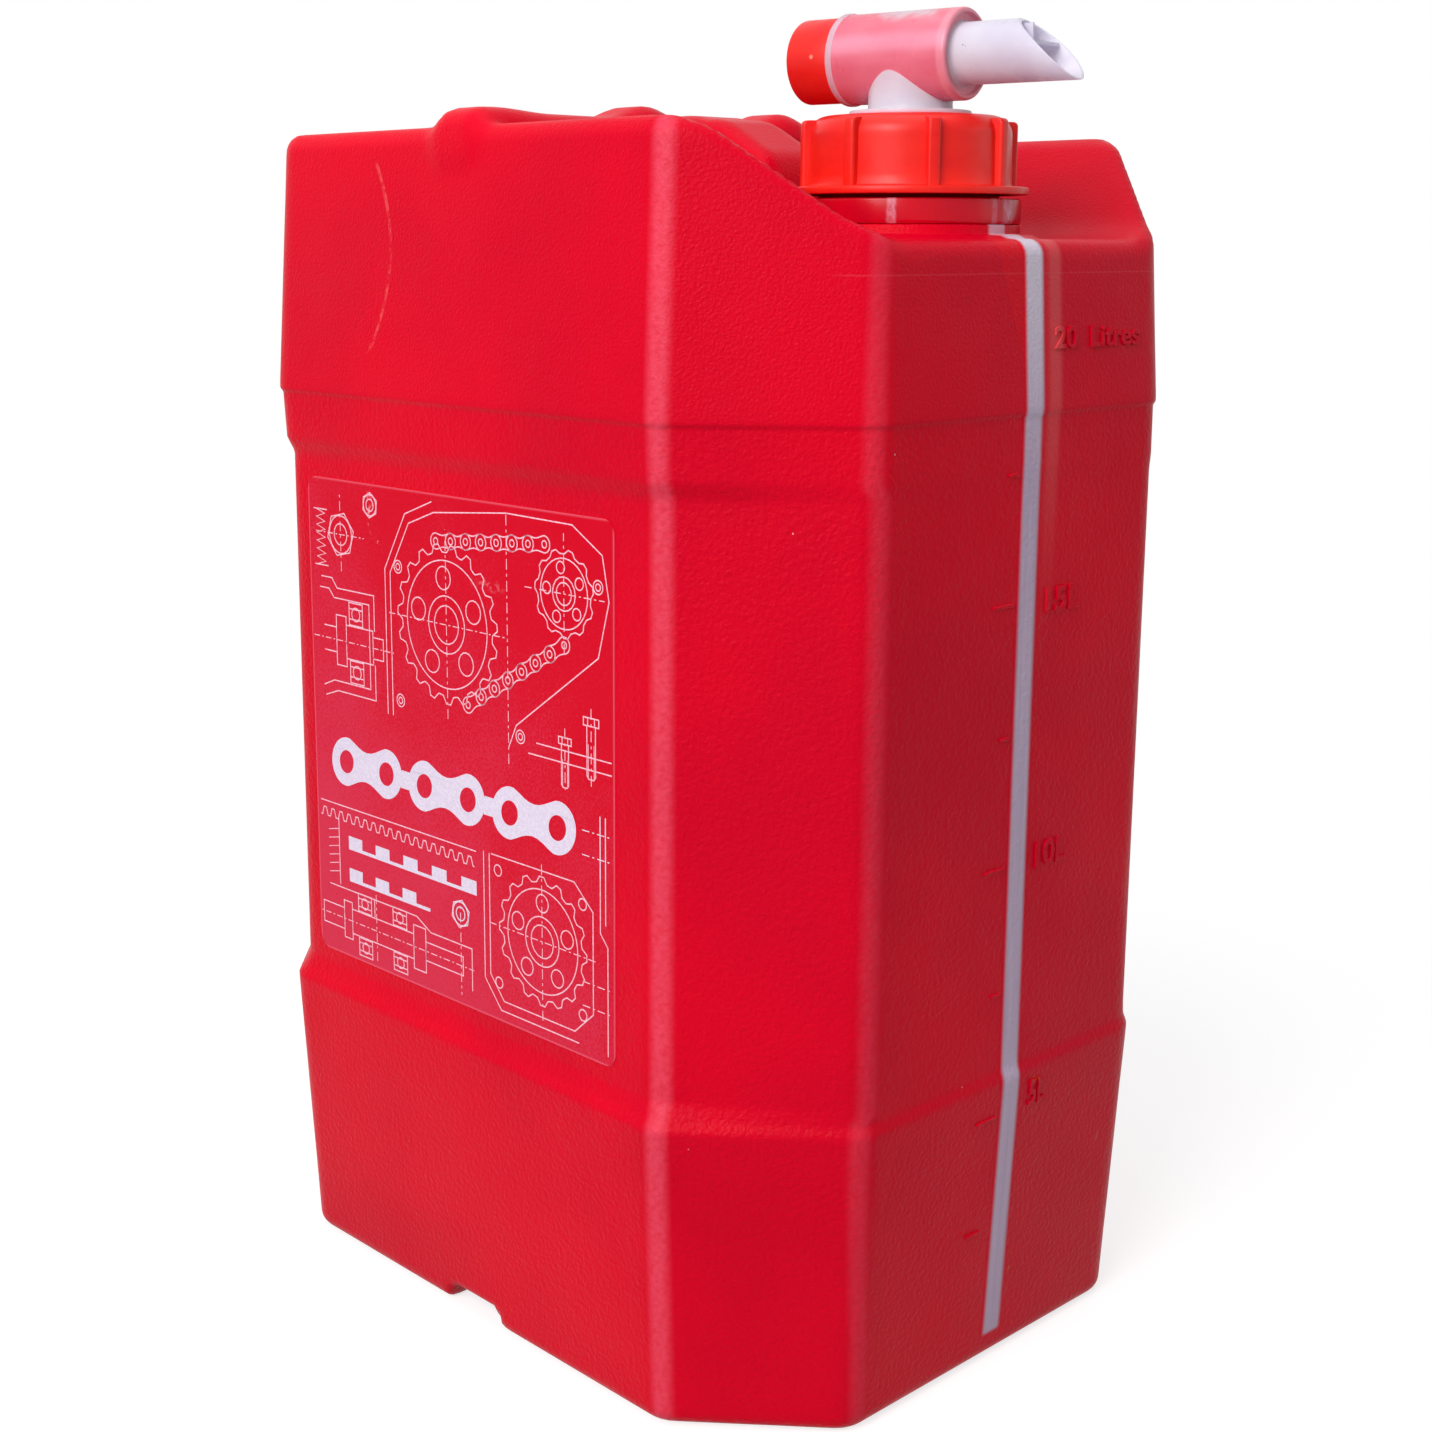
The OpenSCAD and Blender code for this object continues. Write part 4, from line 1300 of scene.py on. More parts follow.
        outline = [(bore, base + 0.4), (bore + 0.4, base), (stem - 0.3, base), (stem + 0.2, base + 0.4),
            (stem + 1.2, base + 2.6), (stem + 1.2, base + 3.0), (stem + 0.3, base + 3.4),
            (stem, base + 3.9), (stem, under - 0.2), (stem + 0.6, under), (foot - 0.35, under),
            (foot, under + 0.3), (foot, over - 0.45), (foot - 0.15, over - 0.12), (foot - 0.5, over),
            (stem + 1.0, over), (stem + 0.35, over + 0.2), (stem + 0.08, over + 0.7), (stem, over + 1.4)]
        rows = []
        for r, z in outline:
            rows.append([(r * cos(tau * k / steps), r * sin(tau * k / steps), z) for k in range(steps)])
        for r in (stem, bore):
            for share in ((0.25, 0.5, 0.75, 1.0) if r == stem else (1.0, 0.5)):
                ring = []
                for k in range(steps):
                    a = tau * k / steps
                    low = over + 1.4
                    ring.append((r * cos(a), r * sin(a), low + (top(r, a) - low) * share))
                rows.append(ring)
        verts, faces = sweep_ring(rows, caps=False)
        faces += ring_strip(range((len(rows) - 1) * steps, len(rows) * steps), range(steps))
        return verts, faces

    def plug_part(self) -> Shape:
        """The plug in the chamber and its knob with a recess in the end."""
        plug, end = self.plug, self.chamber_end
        b = -self.back - 0.2
        e = b - self.knob_length
        k = self.knob
        profile = [(e + 3.0, 0.0), (e + 3.0, k - 3.4), (e + 2.6, k - 2.7), (e + 0.5, k - 2.4),
            (e + 0.1, k - 2.2), (e, k - 1.8)]
        profile += [(e + 1.3 - 1.3 * cos(radians(a)), k - 1.3 + 1.3 * sin(radians(a))) for a in (15, 40, 65,
            90)]
        profile += [(e + 8.0, k), (b - 0.6, k), (b - 0.15, k - 0.15), (b, k - 0.6), (b, plug + 0.1),
            (b + 0.4, plug), (0.0, plug), (end - 0.6, plug), (end - 0.2, plug - 0.4),
            (end - 0.2, plug - 2.0), (end - 0.8, plug - 2.2), (-12.0, plug - 2.2), (-12.4, plug - 3.0),
            (-12.4, 0.0)]
        verts, faces = self.lathe(profile, 96, closed=False)
        return verts, [f[::-1] for f in faces]

    def build(self, milky: Material, red: Material) -> None:
        """Builds the tap and its plug."""
        verts, faces = merge_parts(self.barrel_part(), self.spout_part(), self.web_part(), self.stem_part())
        dress(mesh_object("tap_moulding", self.placed(verts), mirrored(faces), 40.0), milky, Body.TAP,
            "tap_natural", "tap_body")
        verts, faces = self.plug_part()
        dress(mesh_object("plug_and_knob", self.placed(verts), mirrored(faces), 40.0), red, Body.VALVE,
            "plug_red", "valve_plug")


def mirrored(faces: Iterable[Sequence[int]]) -> list[list[int]]:
    """Faces turned over, for points whose axes were swapped."""
    return [list(f)[::-1] for f in faces]


# Neck


def thread_round(name: str, radius: float, low: float, high: float, pitch: float, crest: float, turn: float,
        centre: Pair, material: Material) -> Object:
    """Winds a right-handed thread with a node tree, and returns it as a plain mesh.

    Args:
        name: The piece's name.
        radius: Radius of the ridge's middle, in millimetres.
        low: Height at which the ridge starts.
        high: Height at which it ends.
        pitch: Rise of one turn.
        crest: Radius of the ridge's own round section.
        turn: Angle at which it starts, in degrees.
        centre: The axis, X and Y.
        material: Its finish.

    Returns:
        The new object.
    """
    sizes = ("Radius", "Height", "Turns", "Crest", "Start Angle")
    making = Making(name, {**dict.fromkeys(sizes, "Float"), "Place": "Vector", "Finish": "Material"})
    given, node = making.given, making.node
    spiral = node("GeometryNodeCurveSpiral", {"Resolution": 72, "Rotations": given["Turns"],
        "Start Radius": given["Radius"], "End Radius": given["Radius"], "Height": given["Height"]})
    section = node("GeometryNodeCurvePrimitiveCircle", {"Resolution": 12, "Radius": given["Crest"]})
    ridge = node("GeometryNodeCurveToMesh", {"Curve": spiral, "Profile Curve": section, "Fill Caps": True})
    spin = node("ShaderNodeCombineXYZ", {"Z": given["Start Angle"]})
    moved = node("GeometryNodeTransform", {"Geometry": ridge, "Rotation": spin,
        "Translation": given["Place"]})
    obj = making.finish(moved, {"Radius": radius * MM, "Height": (high - low) * MM,
        "Turns": (high - low) / pitch, "Crest": crest * MM, "Start Angle": radians(turn),
        "Place": (centre[0] * MM, centre[1] * MM, low * MM), "Finish": material})
    obj.data.shade_smooth()
    obj.data.set_sharp_from_angle(angle=radians(50))
    return obj


@dataclass
class Neck:
    """What belongs to the neck beside the blown shell: its thread, and the gasket that the cap carries."""

    centre: Pair = NECK_AXIS
    radius: float = 28.8
    crest: float = 1.35
    low: float = 390.4
    high: float = 404.4
    pitch: float = 6.0
    gasket: tuple[float, float, float, float] = (23.6, 30.0, 407.3, 409.3)

    def build(self, red: Material, rubber: Material) -> None:
        """Builds the thread and the gasket."""
        thread = thread_round("neck_thread", self.radius, self.low, self.high, self.pitch, self.crest, 30.0,
            self.centre, red)
        dress(thread, red, Body.CAN, "can_red")
        r0, r1, z0, z1 = self.gasket
        profile = [(r0 + 0.25, z0), (r1 - 0.25, z0), (r1, z0 + 0.25), (r1, z1 - 0.25), (r1 - 0.25, z1),
            (r0 + 0.25, z1), (r0, z1 - 0.25), (r0, z0 + 0.25)]
        dress(mesh_object("cap_seal", *revolve(profile, 96, self.centre), 30.0), rubber, Body.CARRIER,
            "gasket", "cap_gasket")


# Front


@dataclass
class Front:
    """The level strip, the raised marks and the volume lettering on the front face."""

    can: Can
    left: float = -3.2
    right: float = 7.8
    start: float = 9.0
    depth: float = 0.16
    raise_: float = 0.65

    def settle(self, points: Points, level: float) -> Points:
        """Moves points straight onto a level of the can's own field, in the can's centred frame."""
        eye = np.eye(3) * 0.05
        for _ in range(12):
            here = self.can.shell(points) - level
            slope = np.stack([self.can.shell(points + e) - self.can.shell(points - e) for e in eye],
                1) / 0.1
            size = np.maximum((slope ** 2).sum(1), 0.05)
            points = points - np.clip(here / size, -1.0, 1.0)[:, None] * slope
        return points

    def path(self) -> list[Pair]:
        """Y and Z along the strip: up the front, over the shelf's edge and on to the neck's foot."""
        s = self.can.size
        y = -s.depth / 2
        zs = np.concatenate([np.arange(self.start, 96, 6.0), np.arange(98, 112, 1.5),
            np.arange(114, 318, 6.0), np.arange(318.5, 325, 1.3), np.arange(328, s.shelf - 12, 5.0)])
        points = [(y, float(z)) for z in zs]
        points += [(y + 14 + 16 * cos(radians(a)),
            s.shelf - 12 + 14 * sin(radians(a))) for a in np.linspace(180, 90, 16)]
        points.append((s.neck_y - s.foot - 0.1, s.shelf + 0.4))
        return points

    def strip(self) -> tuple[Points, list[list[int]]]:
        """The strip as a thin closed sheet that lies on the wall and sinks a little into it."""
        across = np.array([0.0, 0.03, 0.08, 0.25, 0.5, 0.75, 0.92, 0.97,
            1.0]) * (self.right - self.left) + self.left
        path = self.path()
        rise = np.array([0.02, 0.09, 1, 1, 1, 1, 1, 0.09, 0.02]) * self.depth
        top = []
        for k, (y, z) in enumerate(path):
            end = min(k, len(path) - 1 - k)
            for x, up in zip(across, rise):
                top.append((x, y, z, up * (0.2 if end == 0 else 1.0)))
        grid = np.array(top)
        upper = np.empty((len(grid), 3))
        for level in np.unique(grid[:, 3]):
            pick = grid[:, 3] == level
            upper[pick] = self.settle(grid[pick, :3], float(level))
        lower = self.settle(upper.copy(), -0.5)
        n, m, count = len(across), len(path), len(upper)
        faces = []
        for i in range(m - 1):
            for j in range(n - 1):
                a, b, c, d = i * n + j, i * n + j + 1, (i + 1) * n + j + 1, (i + 1) * n + j
                faces += [[a, b, c, d], [count + a, count + d, count + c, count + b]]
        edge = (list(range(n)) + [i * n + n - 1 for i in range(1,
            m)] + [(m - 1) * n + j for j in range(n - 2, -1, -1)] + [i * n for i in range(m - 2, 0, -1)])
        for a, b in zip(edge, edge[1:] + edge[:1]):
            faces.append([b, a, count + a, count + b])
        points = np.concatenate([upper, lower])
        points[:, 1] += SHIFT_Y
        return points, faces

    def wall_y(self, z: float) -> float:
        """Y of the front face at a height, in the part's frame."""
        return -self.can.size.depth / 2 + float(self.can.drawn[1](np.array([z]))[0]) + SHIFT_Y

    def bar(self, x0: float, x1: float, z: float, tall: float) -> Shape:
        """One raised tick with rounded ends and a rounded top."""
        rows = []
        for out, draw in ((-0.4, 0.0), (self.raise_ * 0.55, 0.05), (self.raise_, 0.4)):
            ring = []
            r = tall / 2 - draw
            for cx, a0 in ((x1 - tall / 2, -90), (x0 + tall / 2, 90)):
                for k in range(7):
                    a = radians(a0 + 180 * k / 6)
                    px, pz = cx + r * cos(a), z + r * sin(a)
                    ring.append((px, self.wall_y(pz) - out, pz))
            rows.append(ring)
        return sweep_ring(rows)

    def lettering(self, text: str, x0: float, x1: float, z0: float, z1: float) -> Shape:
        """Plain raised lettering fitted to a box on the front face."""
        data = bpy.data.curves.new("letters", "FONT")
        data.body = text
        data.resolution_u = 6
        data.extrude = 0.04
        data.bevel_depth = 0.012
        data.bevel_resolution = 1
        data.offset = 0.014
        obj = linked("letters", data)
        graph = bpy.context.evaluated_depsgraph_get()
        mesh = bpy.data.meshes.new_from_object(obj.evaluated_get(graph))
        points = np.array([v.co[:] for v in mesh.vertices])
        faces = [list(p.vertices) for p in mesh.polygons]
        bpy.data.objects.remove(obj)
        low, high = points.min(0), points.max(0)
        verts = []
        for x, z, out in points:
            px = x0 + (x - low[0]) / (high[0] - low[0]) * (x1 - x0)
            pz = z0 + (z - low[1]) / (high[1] - low[1]) * (z1 - z0)
            share = (out - low[2]) / (high[2] - low[2])
            verts.append((px, self.wall_y(pz) + 0.5 - share * (0.5 + self.raise_), pz))
        return verts, faces

    def build(self, red: Material) -> None:
        """Builds the strip, the ticks and the lettering."""
        points, faces = self.strip()
        dress(mesh_object("level_strip", points, faces, 60.0), red, Body.CAN, "strip_clear", "view_strip")
        ticks = [self.bar(-15.0, -4.2, z, 1.3) for z in (261.7, 175.7, 90.7)]
        ticks += [self.bar(-9.5, -4.2, z, 1.2) for z in (302.7, 218.7, 133.2)]
        ticks.append(self.bar(-16.0, -8.5, 50.7, 1.2))
        words = [self.lettering(*w) for w in (("20  Litres", 12.5, 57.8, 340.6, 347.6),
            ("15L", 12.3, 30.5, 256.9, 265.2), ("10L", 12.0, 28.5, 172.2, 181.0),
            ("5L", 12.5, 21.5, 89.2, 98.6))]
        dress(mesh_object("level_marks", *merge_parts(*ticks), 40.0), red, Body.CAN, "can_red")
        dress(mesh_object("volume_lettering", *merge_parts(*words), 30.0), red, Body.CAN, "can_red")


# Label


@dataclass
class Label:
    """The printed film on the left face: a made-up drive drawing and a row of chain plates."""

    wide: float = 163.0
    tall: float = 175.0
    corner: float = 5.0
    face: float = -110.9
    thick: float = 0.28
    middle: Pair = (8.02, 204.0)
    line: float = 0.42
    strokes: list = field(default_factory=list)
    solids: list = field(default_factory=list)

    def lift(self, u: float, v: float) -> float:
        """How far the film stands off its flat place: a wrinkle at the top edge and faint waves."""
        wrinkle = 0.0
        for du, dv, a, b, high in ((-44.0, 80.0, 3.2, 14.0, 0.075), (-39.0, 74.0, 2.2, 9.0, 0.06),
                (-36.0, 84.0, 4.0, 4.0, 0.06)):
            wrinkle += high * exp(-((u - du) / a) ** 2 - ((v - dv) / b) ** 2)
        return wrinkle + 0.012 * (1 + sin(u * 0.11 + 1.3 * sin(v * 0.06)) * cos(v * 0.09)) / 2

    def at(self, u: float, v: float, out: float) -> Spot:
        """A label point, U to the right and V up as seen from outside, in the part's frame."""
        return (self.face - out - (self.lift(u, v) if out > 0 else 0.0), self.middle[0] - u,
            self.middle[1] + v)

    def film(self) -> Shape:
        """The film as a closed sheet whose top follows the wrinkles."""
        mesh = bmesh.new()
        n, m = 82, 88
        w, h = self.wide / 2 - 0.2, self.tall / 2 - 0.2
        rows = []
        for j in range(m + 1):
            row = []
            for i in range(n + 1):
                u, v = -w + 2 * w * i / n, -h + 2 * h * j / m
                r = self.corner - 0.2
                cx, cy = max(abs(u) - (w - r), 0), max(abs(v) - (h - r), 0)
                far = hypot(cx, cy)
                if cx > 0 and cy > 0 and far > r:
                    u = copysign(w - r + cx * r / far, u)
                    v = copysign(h - r + cy * r / far, v)
                row.append(mesh.verts.new((u, v, 0)))
            rows.append(row)
        for j in range(m):
            for i in range(n):
                mesh.faces.new((rows[j][i], rows[j][i + 1], rows[j + 1][i + 1], rows[j + 1][i]))
        bmesh.ops.remove_doubles(mesh, verts=mesh.verts, dist=0.05)
        mesh.verts.index_update()
        flat = [(v.co.x, v.co.y) for v in mesh.verts]
        faces = [[v.index for v in f.verts] for f in mesh.faces]
        border = [(e.link_loops[0].vert.index,
            e.link_loops[0].link_loop_next.vert.index) for e in mesh.edges if len(e.link_loops) == 1]
        mesh.free()
        top = [self.at(u, v, self.thick) for u, v in flat]
        low = [self.at(u, v, 0.0) for u, v in flat]
        count = len(flat)
        faces = faces + [[count + i for i in f[::-1]] for f in faces]
        faces += [[b, a, count + a, count + b] for a, b in border]
        return top + low, faces

    def stroke(self, points: Sequence[Pair], closed: bool = False, wide: float | None = None) -> None:
        """Adds a drawn line through points, kept inside the film."""
        wide = (wide or self.line) / 2
        line = [points[0]]
        for p in list(points[1:]) + ([points[0]] if closed else []):
            gap = dist(line[-1], p)
            steps = max(1, ceil(gap / 9.0))
            q = line[-1]
            line += [(q[0] + (p[0] - q[0]) * k / steps, q[1] + (p[1] - q[1]) * k / steps) for k in range(1,
                steps + 1)]
        if closed:
            line.pop()
        limit_u, limit_v = self.wide / 2 - 1.0, self.tall / 2 - 1.0
        run: list[Pair] = []
        whole = all(abs(u) < limit_u and abs(v) < limit_v for u, v in line)
        if closed and whole:
            self.strokes.append((line, True, wide))
            return
        if closed:
            line.append(line[0])
        for u, v in line:
            if abs(u) < limit_u and abs(v) < limit_v:
                run.append((u, v))
            elif len(run) > 1:
                self.strokes.append((run, False, wide))
                run = []
            else:
                run = []
        if len(run) > 1:
            self.strokes.append((run, False, wide))

    def ring(self, u: float, v: float, r: float, wide: float | None = None) -> None:
        """A drawn circle."""
        n = max(16, int(r * 3))
        self.stroke([(u + r * cos(tau * k / n), v + r * sin(tau * k / n)) for k in range(n)], True, wide)

    def dashes(self, a: Pair, b: Pair, dash: float = 3.4, gap: float = 1.4) -> None:
        """A dashed centre line."""
        total = dist(a, b)
        du, dv = (b[0] - a[0]) / total, (b[1] - a[1]) / total
        at, long_ = 0.0, True
        while at < total:
            size = min(dash if long_ else 0.9, total - at)
            self.stroke([(a[0] + du * at, a[1] + dv * at), (a[0] + du * (at + size),
                a[1] + dv * (at + size))], False, 0.32)
            at += size + gap
            long_ = not long_

    def box(self, u: float, v: float, w: float, h: float) -> None:
        """A drawn rectangle from its lower left corner."""
        self.stroke([(u, v), (u + w, v), (u + w, v + h), (u, v + h)], True)

    def hexagon(self, u: float, v: float, r: float, turn: float = 0.0) -> None:
        """A nut: hexagon, washer circle and bore."""
        self.stroke([(u + r * cos(radians(60 * k + turn)),
            v + r * sin(radians(60 * k + turn))) for k in range(6)], True)
        self.ring(u, v, r * 0.84)
        self.ring(u, v, r * 0.48)

    def sprocket(self, u: float, v: float, r: float, teeth: int, hub: float, turn: float = 0.0) -> None:
        """A toothed chain wheel with lightening holes, hub and centre lines."""
        points = []
        for k in range(teeth):
            base = tau * k / teeth + turn
            pitch = 2 * pi / teeth
            for share, radius in ((-0.5, r * 0.90), (-0.34, r * 0.905), (-0.24, r * 0.945), (-0.13, r),
                    (0.13, r), (0.24, r * 0.945), (0.34, r * 0.905)):
                a = base + share * pitch
                points.append((u + radius * cos(a), v + radius * sin(a)))
        self.stroke(points, True)
        self.ring(u, v, hub)
        self.ring(u, v, hub * 1.5)
        self.ring(u, v, r * 0.80)
        for k in range(5):
            a = tau * k / 5 + 0.3 + turn
            mid = (hub * 1.5 + r * 0.80) / 2
            self.ring(u + mid * cos(a), v + mid * sin(a), (r * 0.80 - hub * 1.5) * 0.33)
        self.dashes((u - r - 5, v), (u + r + 5, v))
        self.dashes((u, v - r - 5), (u, v + r + 5))

    def chain(self, a: Pair, b: Pair, pitch: float = 8.0, plate: float = 2.7) -> None:
        """A thin chain run of waisted plates between two points."""
        total = dist(a, b)
        count = int(total / pitch)
        du, dv = (b[0] - a[0]) / total, (b[1] - a[1]) / total
        for k in range(count):
            c = (k + 0.5) * pitch
            points = []
            for along, across in plate_outline(pitch / 2, plate, 0.62 if k % 2 else 0.72, 10):
                points.append((a[0] + du * (c + along) - dv * across,
                    a[1] + dv * (c + along) + du * across))
            self.stroke(points, True)
            for end in (-1, 1):
                c2 = c + end * pitch / 2
                if k % 2 == 0:
                    self.ring(a[0] + du * c2, a[1] + dv * c2, plate * 0.42)

    def bearing(self, u: float, v: float, w: float, h: float) -> None:
        """A bearing in section: two races and a ball."""
        self.box(u, v, w, h)
        self.stroke([(u, v + h * 0.27), (u + w, v + h * 0.27)])
        self.stroke([(u, v + h * 0.73), (u + w, v + h * 0.73)])
        self.ring(u + w / 2, v + h / 2, min(w, h) * 0.3)

    def bolt(self, u: float, v: float, long_: float, r: float) -> None:
        """A bolt seen from the side, its head up."""
        self.box(u - r * 1.8, v, r * 3.6, r * 1.3)
        self.stroke([(u - r * 0.8, v), (u - r * 0.8, v + r * 1.3)])
        self.stroke([(u + r * 0.8, v), (u + r * 0.8, v + r * 1.3)])
        self.stroke([(u - r, v), (u - r, v - long_ + r * 0.5), (u - r * 0.6, v - long_),
            (u + r * 0.6, v - long_), (u + r, v - long_ + r * 0.5), (u + r, v)])
        self.stroke([(u - r * 0.7, v - long_ * 0.35), (u - r * 0.7, v - long_ + 0.6)], False, 0.3)
        self.stroke([(u + r * 0.7, v - long_ * 0.35), (u + r * 0.7, v - long_ + 0.6)], False, 0.3)
        self.dashes((u, v + r * 1.3 + 3), (u, v - long_ - 3))

    def shaft(self, v: float, steps: Sequence[Spot]) -> None:
        """A stepped shaft along U: start, end and half height of each step."""
        for u0, u1, half in steps:
            self.box(u0, v - half, u1 - u0, 2 * half)
        self.dashes((steps[0][0] - 6, v), (steps[-1][1] + 6, v))

    def spring(self, u: float, v: float, long_: float, half: float, coils: int) -> None:
        """A coil spring seen from the side, standing upright."""
        points = [(u + (half if k % 2 else -half),
            v + long_ * k / (2 * coils)) for k in range(2 * coils + 1)]
        self.stroke(points)
        self.stroke([(u - half - 1.5, v), (u + half + 1.5, v)])
        self.stroke([(u - half - 1.5, v + long_), (u + half + 1.5, v + long_)])

    def teeth_row(self, u: float, v: float, count: int, pitch: float, high: float) -> None:
        """A toothed rack drawn along U."""
        points = [(u, v)]
        for k in range(count):
            points += [(u + pitch * (k + 0.15), v), (u + pitch * (k + 0.35), v + high),
                (u + pitch * (k + 0.65), v + high), (u + pitch * (k + 0.85), v)]
        points.append((u + pitch * count, v))
        self.stroke(points)

    def drawing(self) -> None:
        """Draws the whole sheet of fine lines."""
        self.sprocket(-2, 44, 27, 19, 6.5, 0.1)
        self.sprocket(58, 62, 14, 11, 3.6, 0.2)
        self.chain((-7, 71.6), (54, 77))
        self.chain((9, 18.6), (63, 48.6))
        self.stroke([(-33, 8), (-33, 58), (-22, 76), (-8, 81), (30, 84.5), (62, 84), (76, 76), (79, 62),
            (74, 44), (34, 16), (30, 8)])
        self.stroke([(-36, 8), (-36, 59), (-24, 79), (-9, 84.5)])
        for u, v in ((-28.5, 60.5), (-28.5, 14), (74, 66), (36, 12.6)):
            self.ring(u, v, 2.2)
            self.ring(u, v, 1.1)
        self.hexagon(-62, 68, 8, 12)
        self.hexagon(-44, 80, 4.4, 25)
        self.dashes((-77, 68), (-48, 68))
        self.dashes((-62, 55), (-62, 82))
        self.shaft(30, [(-81, -66, 4.5), (-66, -60, 9), (-60, -44, 6), (-44, -38, 3.8)])
        self.bearing(-58, 36.4, 8, 8)
        self.bearing(-58, 15.6, 8, 8)
        self.stroke([(-81, 48), (-70, 48), (-67, 45), (-46, 45), (-46, 15), (-68, 15), (-81, 10)])
        self.stroke([(-81, 52), (-68, 52), (-65, 48.6), (-43, 48.6), (-43, 36)])
        self.stroke([(-43, 24), (-43, 11.4), (-66, 11.4), (-81, 6.4)])
        self.spring(-74, 56, 20, 2.6, 7)
        self.bolt(70.5, 22, 17, 2)
        self.bolt(58, 14, 14, 1.7)
        self.stroke([(40, 8), (80, 8)])
        self.stroke([(44, 12), (80, 12)])
        self.dashes((30, 84), (30, 2))
        self.sprocket(46, -54, 22, 16, 5.6, 0)
        self.stroke([(20, -30), (62, -30), (71, -38), (71, -72), (62, -80), (26, -80), (19, -72),
            (19, -30)])
        self.stroke([(16, -30), (16, -74), (24.5, -83.5), (64, -83.5)])
        for u, v in ((66, -36.5), (66, -73.5), (23.5, -74), (23.5, -35)):
            self.ring(u, v, 1.9)
        self.stroke([(-79, -31), (12, -31)])
        self.teeth_row(-79, -36.5, 18, 5, 3)
        self.shaft(-73.5, [(-79, -66, 4), (-66, -61, 7), (-61, -24, 4.6), (-24, -17, 8), (-17, 4, 3.4)])
        for u in (-57, -36):
            self.bearing(u, -68.5, 8, 6.6)
            self.bearing(u, -85.1, 8, 6.6)
        self.stroke([(-81, -62), (-62, -62), (-22, -62), (-14, -66), (9, -66), (9, -81)])
        self.stroke([(-47, -62), (-47, -68.5)])
        self.hexagon(3, -55, 5, 20)
        self.dashes((3, -47.5), (3, -84))
        self.dashes((-46, -60), (-46, -86))
        self.stroke([(74.5, -6), (74.5, -44), (78, -48), (78, -84)])
        self.stroke([(77, -6), (77, -41), (81, -45)])
        for v in (-12, -20, -62, -70):
            self.dashes((66, v), (81, v))
        for k in range(6):
            self.stroke([(-81, -43.0 - 3.2 * k), (-68, -40.0 - 3.2 * k)], False, 0.3)
        self.stroke([(-68, -36.5), (-68, -61)])

    def bold(self) -> None:
        """The bold chain plates across the middle and the two measuring bars."""
        for k in (-1, 0, 1):
            u = 46.0 * k - 4.0
            skew = [(p + 0.10 * q, q) for p, q in plate_outline(12.0, 9.0, 0.60, 28)]
            self.solids.append(([(u + p, -14.0 + q) for p, q in skew],
                [[(u + s + 0.10 * 4.3 * sin(t) + 4.3 * cos(t), -14.0 + 4.3 * sin(t)) for t in np.linspace(0,
                2 * pi, 25)[:-1]] for s in (-12.0, 12.0)]))
        for k in (-0.5, 0.5):
            u = 46.0 * k - 4.0
            self.solids.append(([(u - 2.6, -17.2), (u + 2.6, -17.2), (u + 3.2, -10.8), (u - 2.0, -10.8)],
                []))
        for u, v, wide, parts in ((-62.0, -44.0, 74.0, 9), (-62.0, -56.0, 48.0, 6)):
            step = wide / parts
            for k in range(parts):
                tall = 5.0 if k % 2 == 0 else 1.2
                self.solids.append(([(u + step * k, v - 2.5), (u + step * (k + 1), v - 2.5),
                    (u + step * (k + 1), v - 2.5 + tall), (u + step * k, v - 2.5 + tall)], []))

    def ink(self, out: float) -> Shape:
        """All the lines and solids as thin closed ribbons just above the film."""
        verts: list = []
        faces: list = []
        deep, high = out - 0.05, out + 0.035

        def slab(low: Sequence[Pair], count: int, flat: Sequence[Sequence[int]],
                rims: Sequence[Sequence[int]]) -> None:
            """Closes a flat shape into a thin plate."""
            base = len(verts)
            verts.extend([self.at(u, v, high) for u, v in low] + [self.at(u, v, deep) for u, v in low])
            for f in flat:
                faces.append([base + i for i in f])
                faces.append([base + count + i for i in f][::-1])
            for rim in rims:
                for a, b in zip(rim, list(rim[1:]) + [rim[0]]):
                    faces.append([base + b, base + a, base + count + a, base + count + b])

        for line, closed, half in self.strokes:
            left, right = [], []
            n = len(line)
            for k, p in enumerate(line):
                before = line[(k - 1) % n] if closed or k else p
                after = line[(k + 1) % n] if closed or k < n - 1 else p
                d1 = unit(p[0] - before[0], p[1] - before[1])
                d2 = unit(after[0] - p[0], after[1] - p[1])
                d1, d2 = (d1 or d2), (d2 or d1)
                if d1 is None or d2 is None:
                    continue
                turn = unit(d1[0] + d2[0], d1[1] + d2[1]) or d1
                reach = half / max(0.5, turn[0] * d1[0] + turn[1] * d1[1])
                left.append((p[0] - turn[1] * reach, p[1] + turn[0] * reach))
                right.append((p[0] + turn[1] * reach, p[1] - turn[0] * reach))
            n = len(left)
            if n < 2:
                continue
            low = left + right
            flat = [[k, n + k, n + (k + 1) % n, (k + 1) % n] for k in range(n if closed else n - 1)]
            rims = ([list(range(n))[::-1], list(range(n, 2 * n))] if closed else [list(range(n,
                2 * n)) + list(range(n))[::-1]])
            slab(low, 2 * n, flat, rims)
        for outer, holes in self.solids:
            loops = [outer, *[h[::-1] for h in holes]]
            low = [p for loop in loops for p in loop]
            curve = [[Vector((u, v, 0)) for u, v in loop] for loop in loops]
            flat = [list(t) for t in geometry.tessellate_polygon(curve)]
            flat = [t if area(low, t) > 0 else t[::-1] for t in flat]
            rims, at = [], 0
            for loop in loops:
                rims.append(list(range(at, at + len(loop))))
                at += len(loop)
            slab(low, len(low), flat, rims)
        return verts, faces

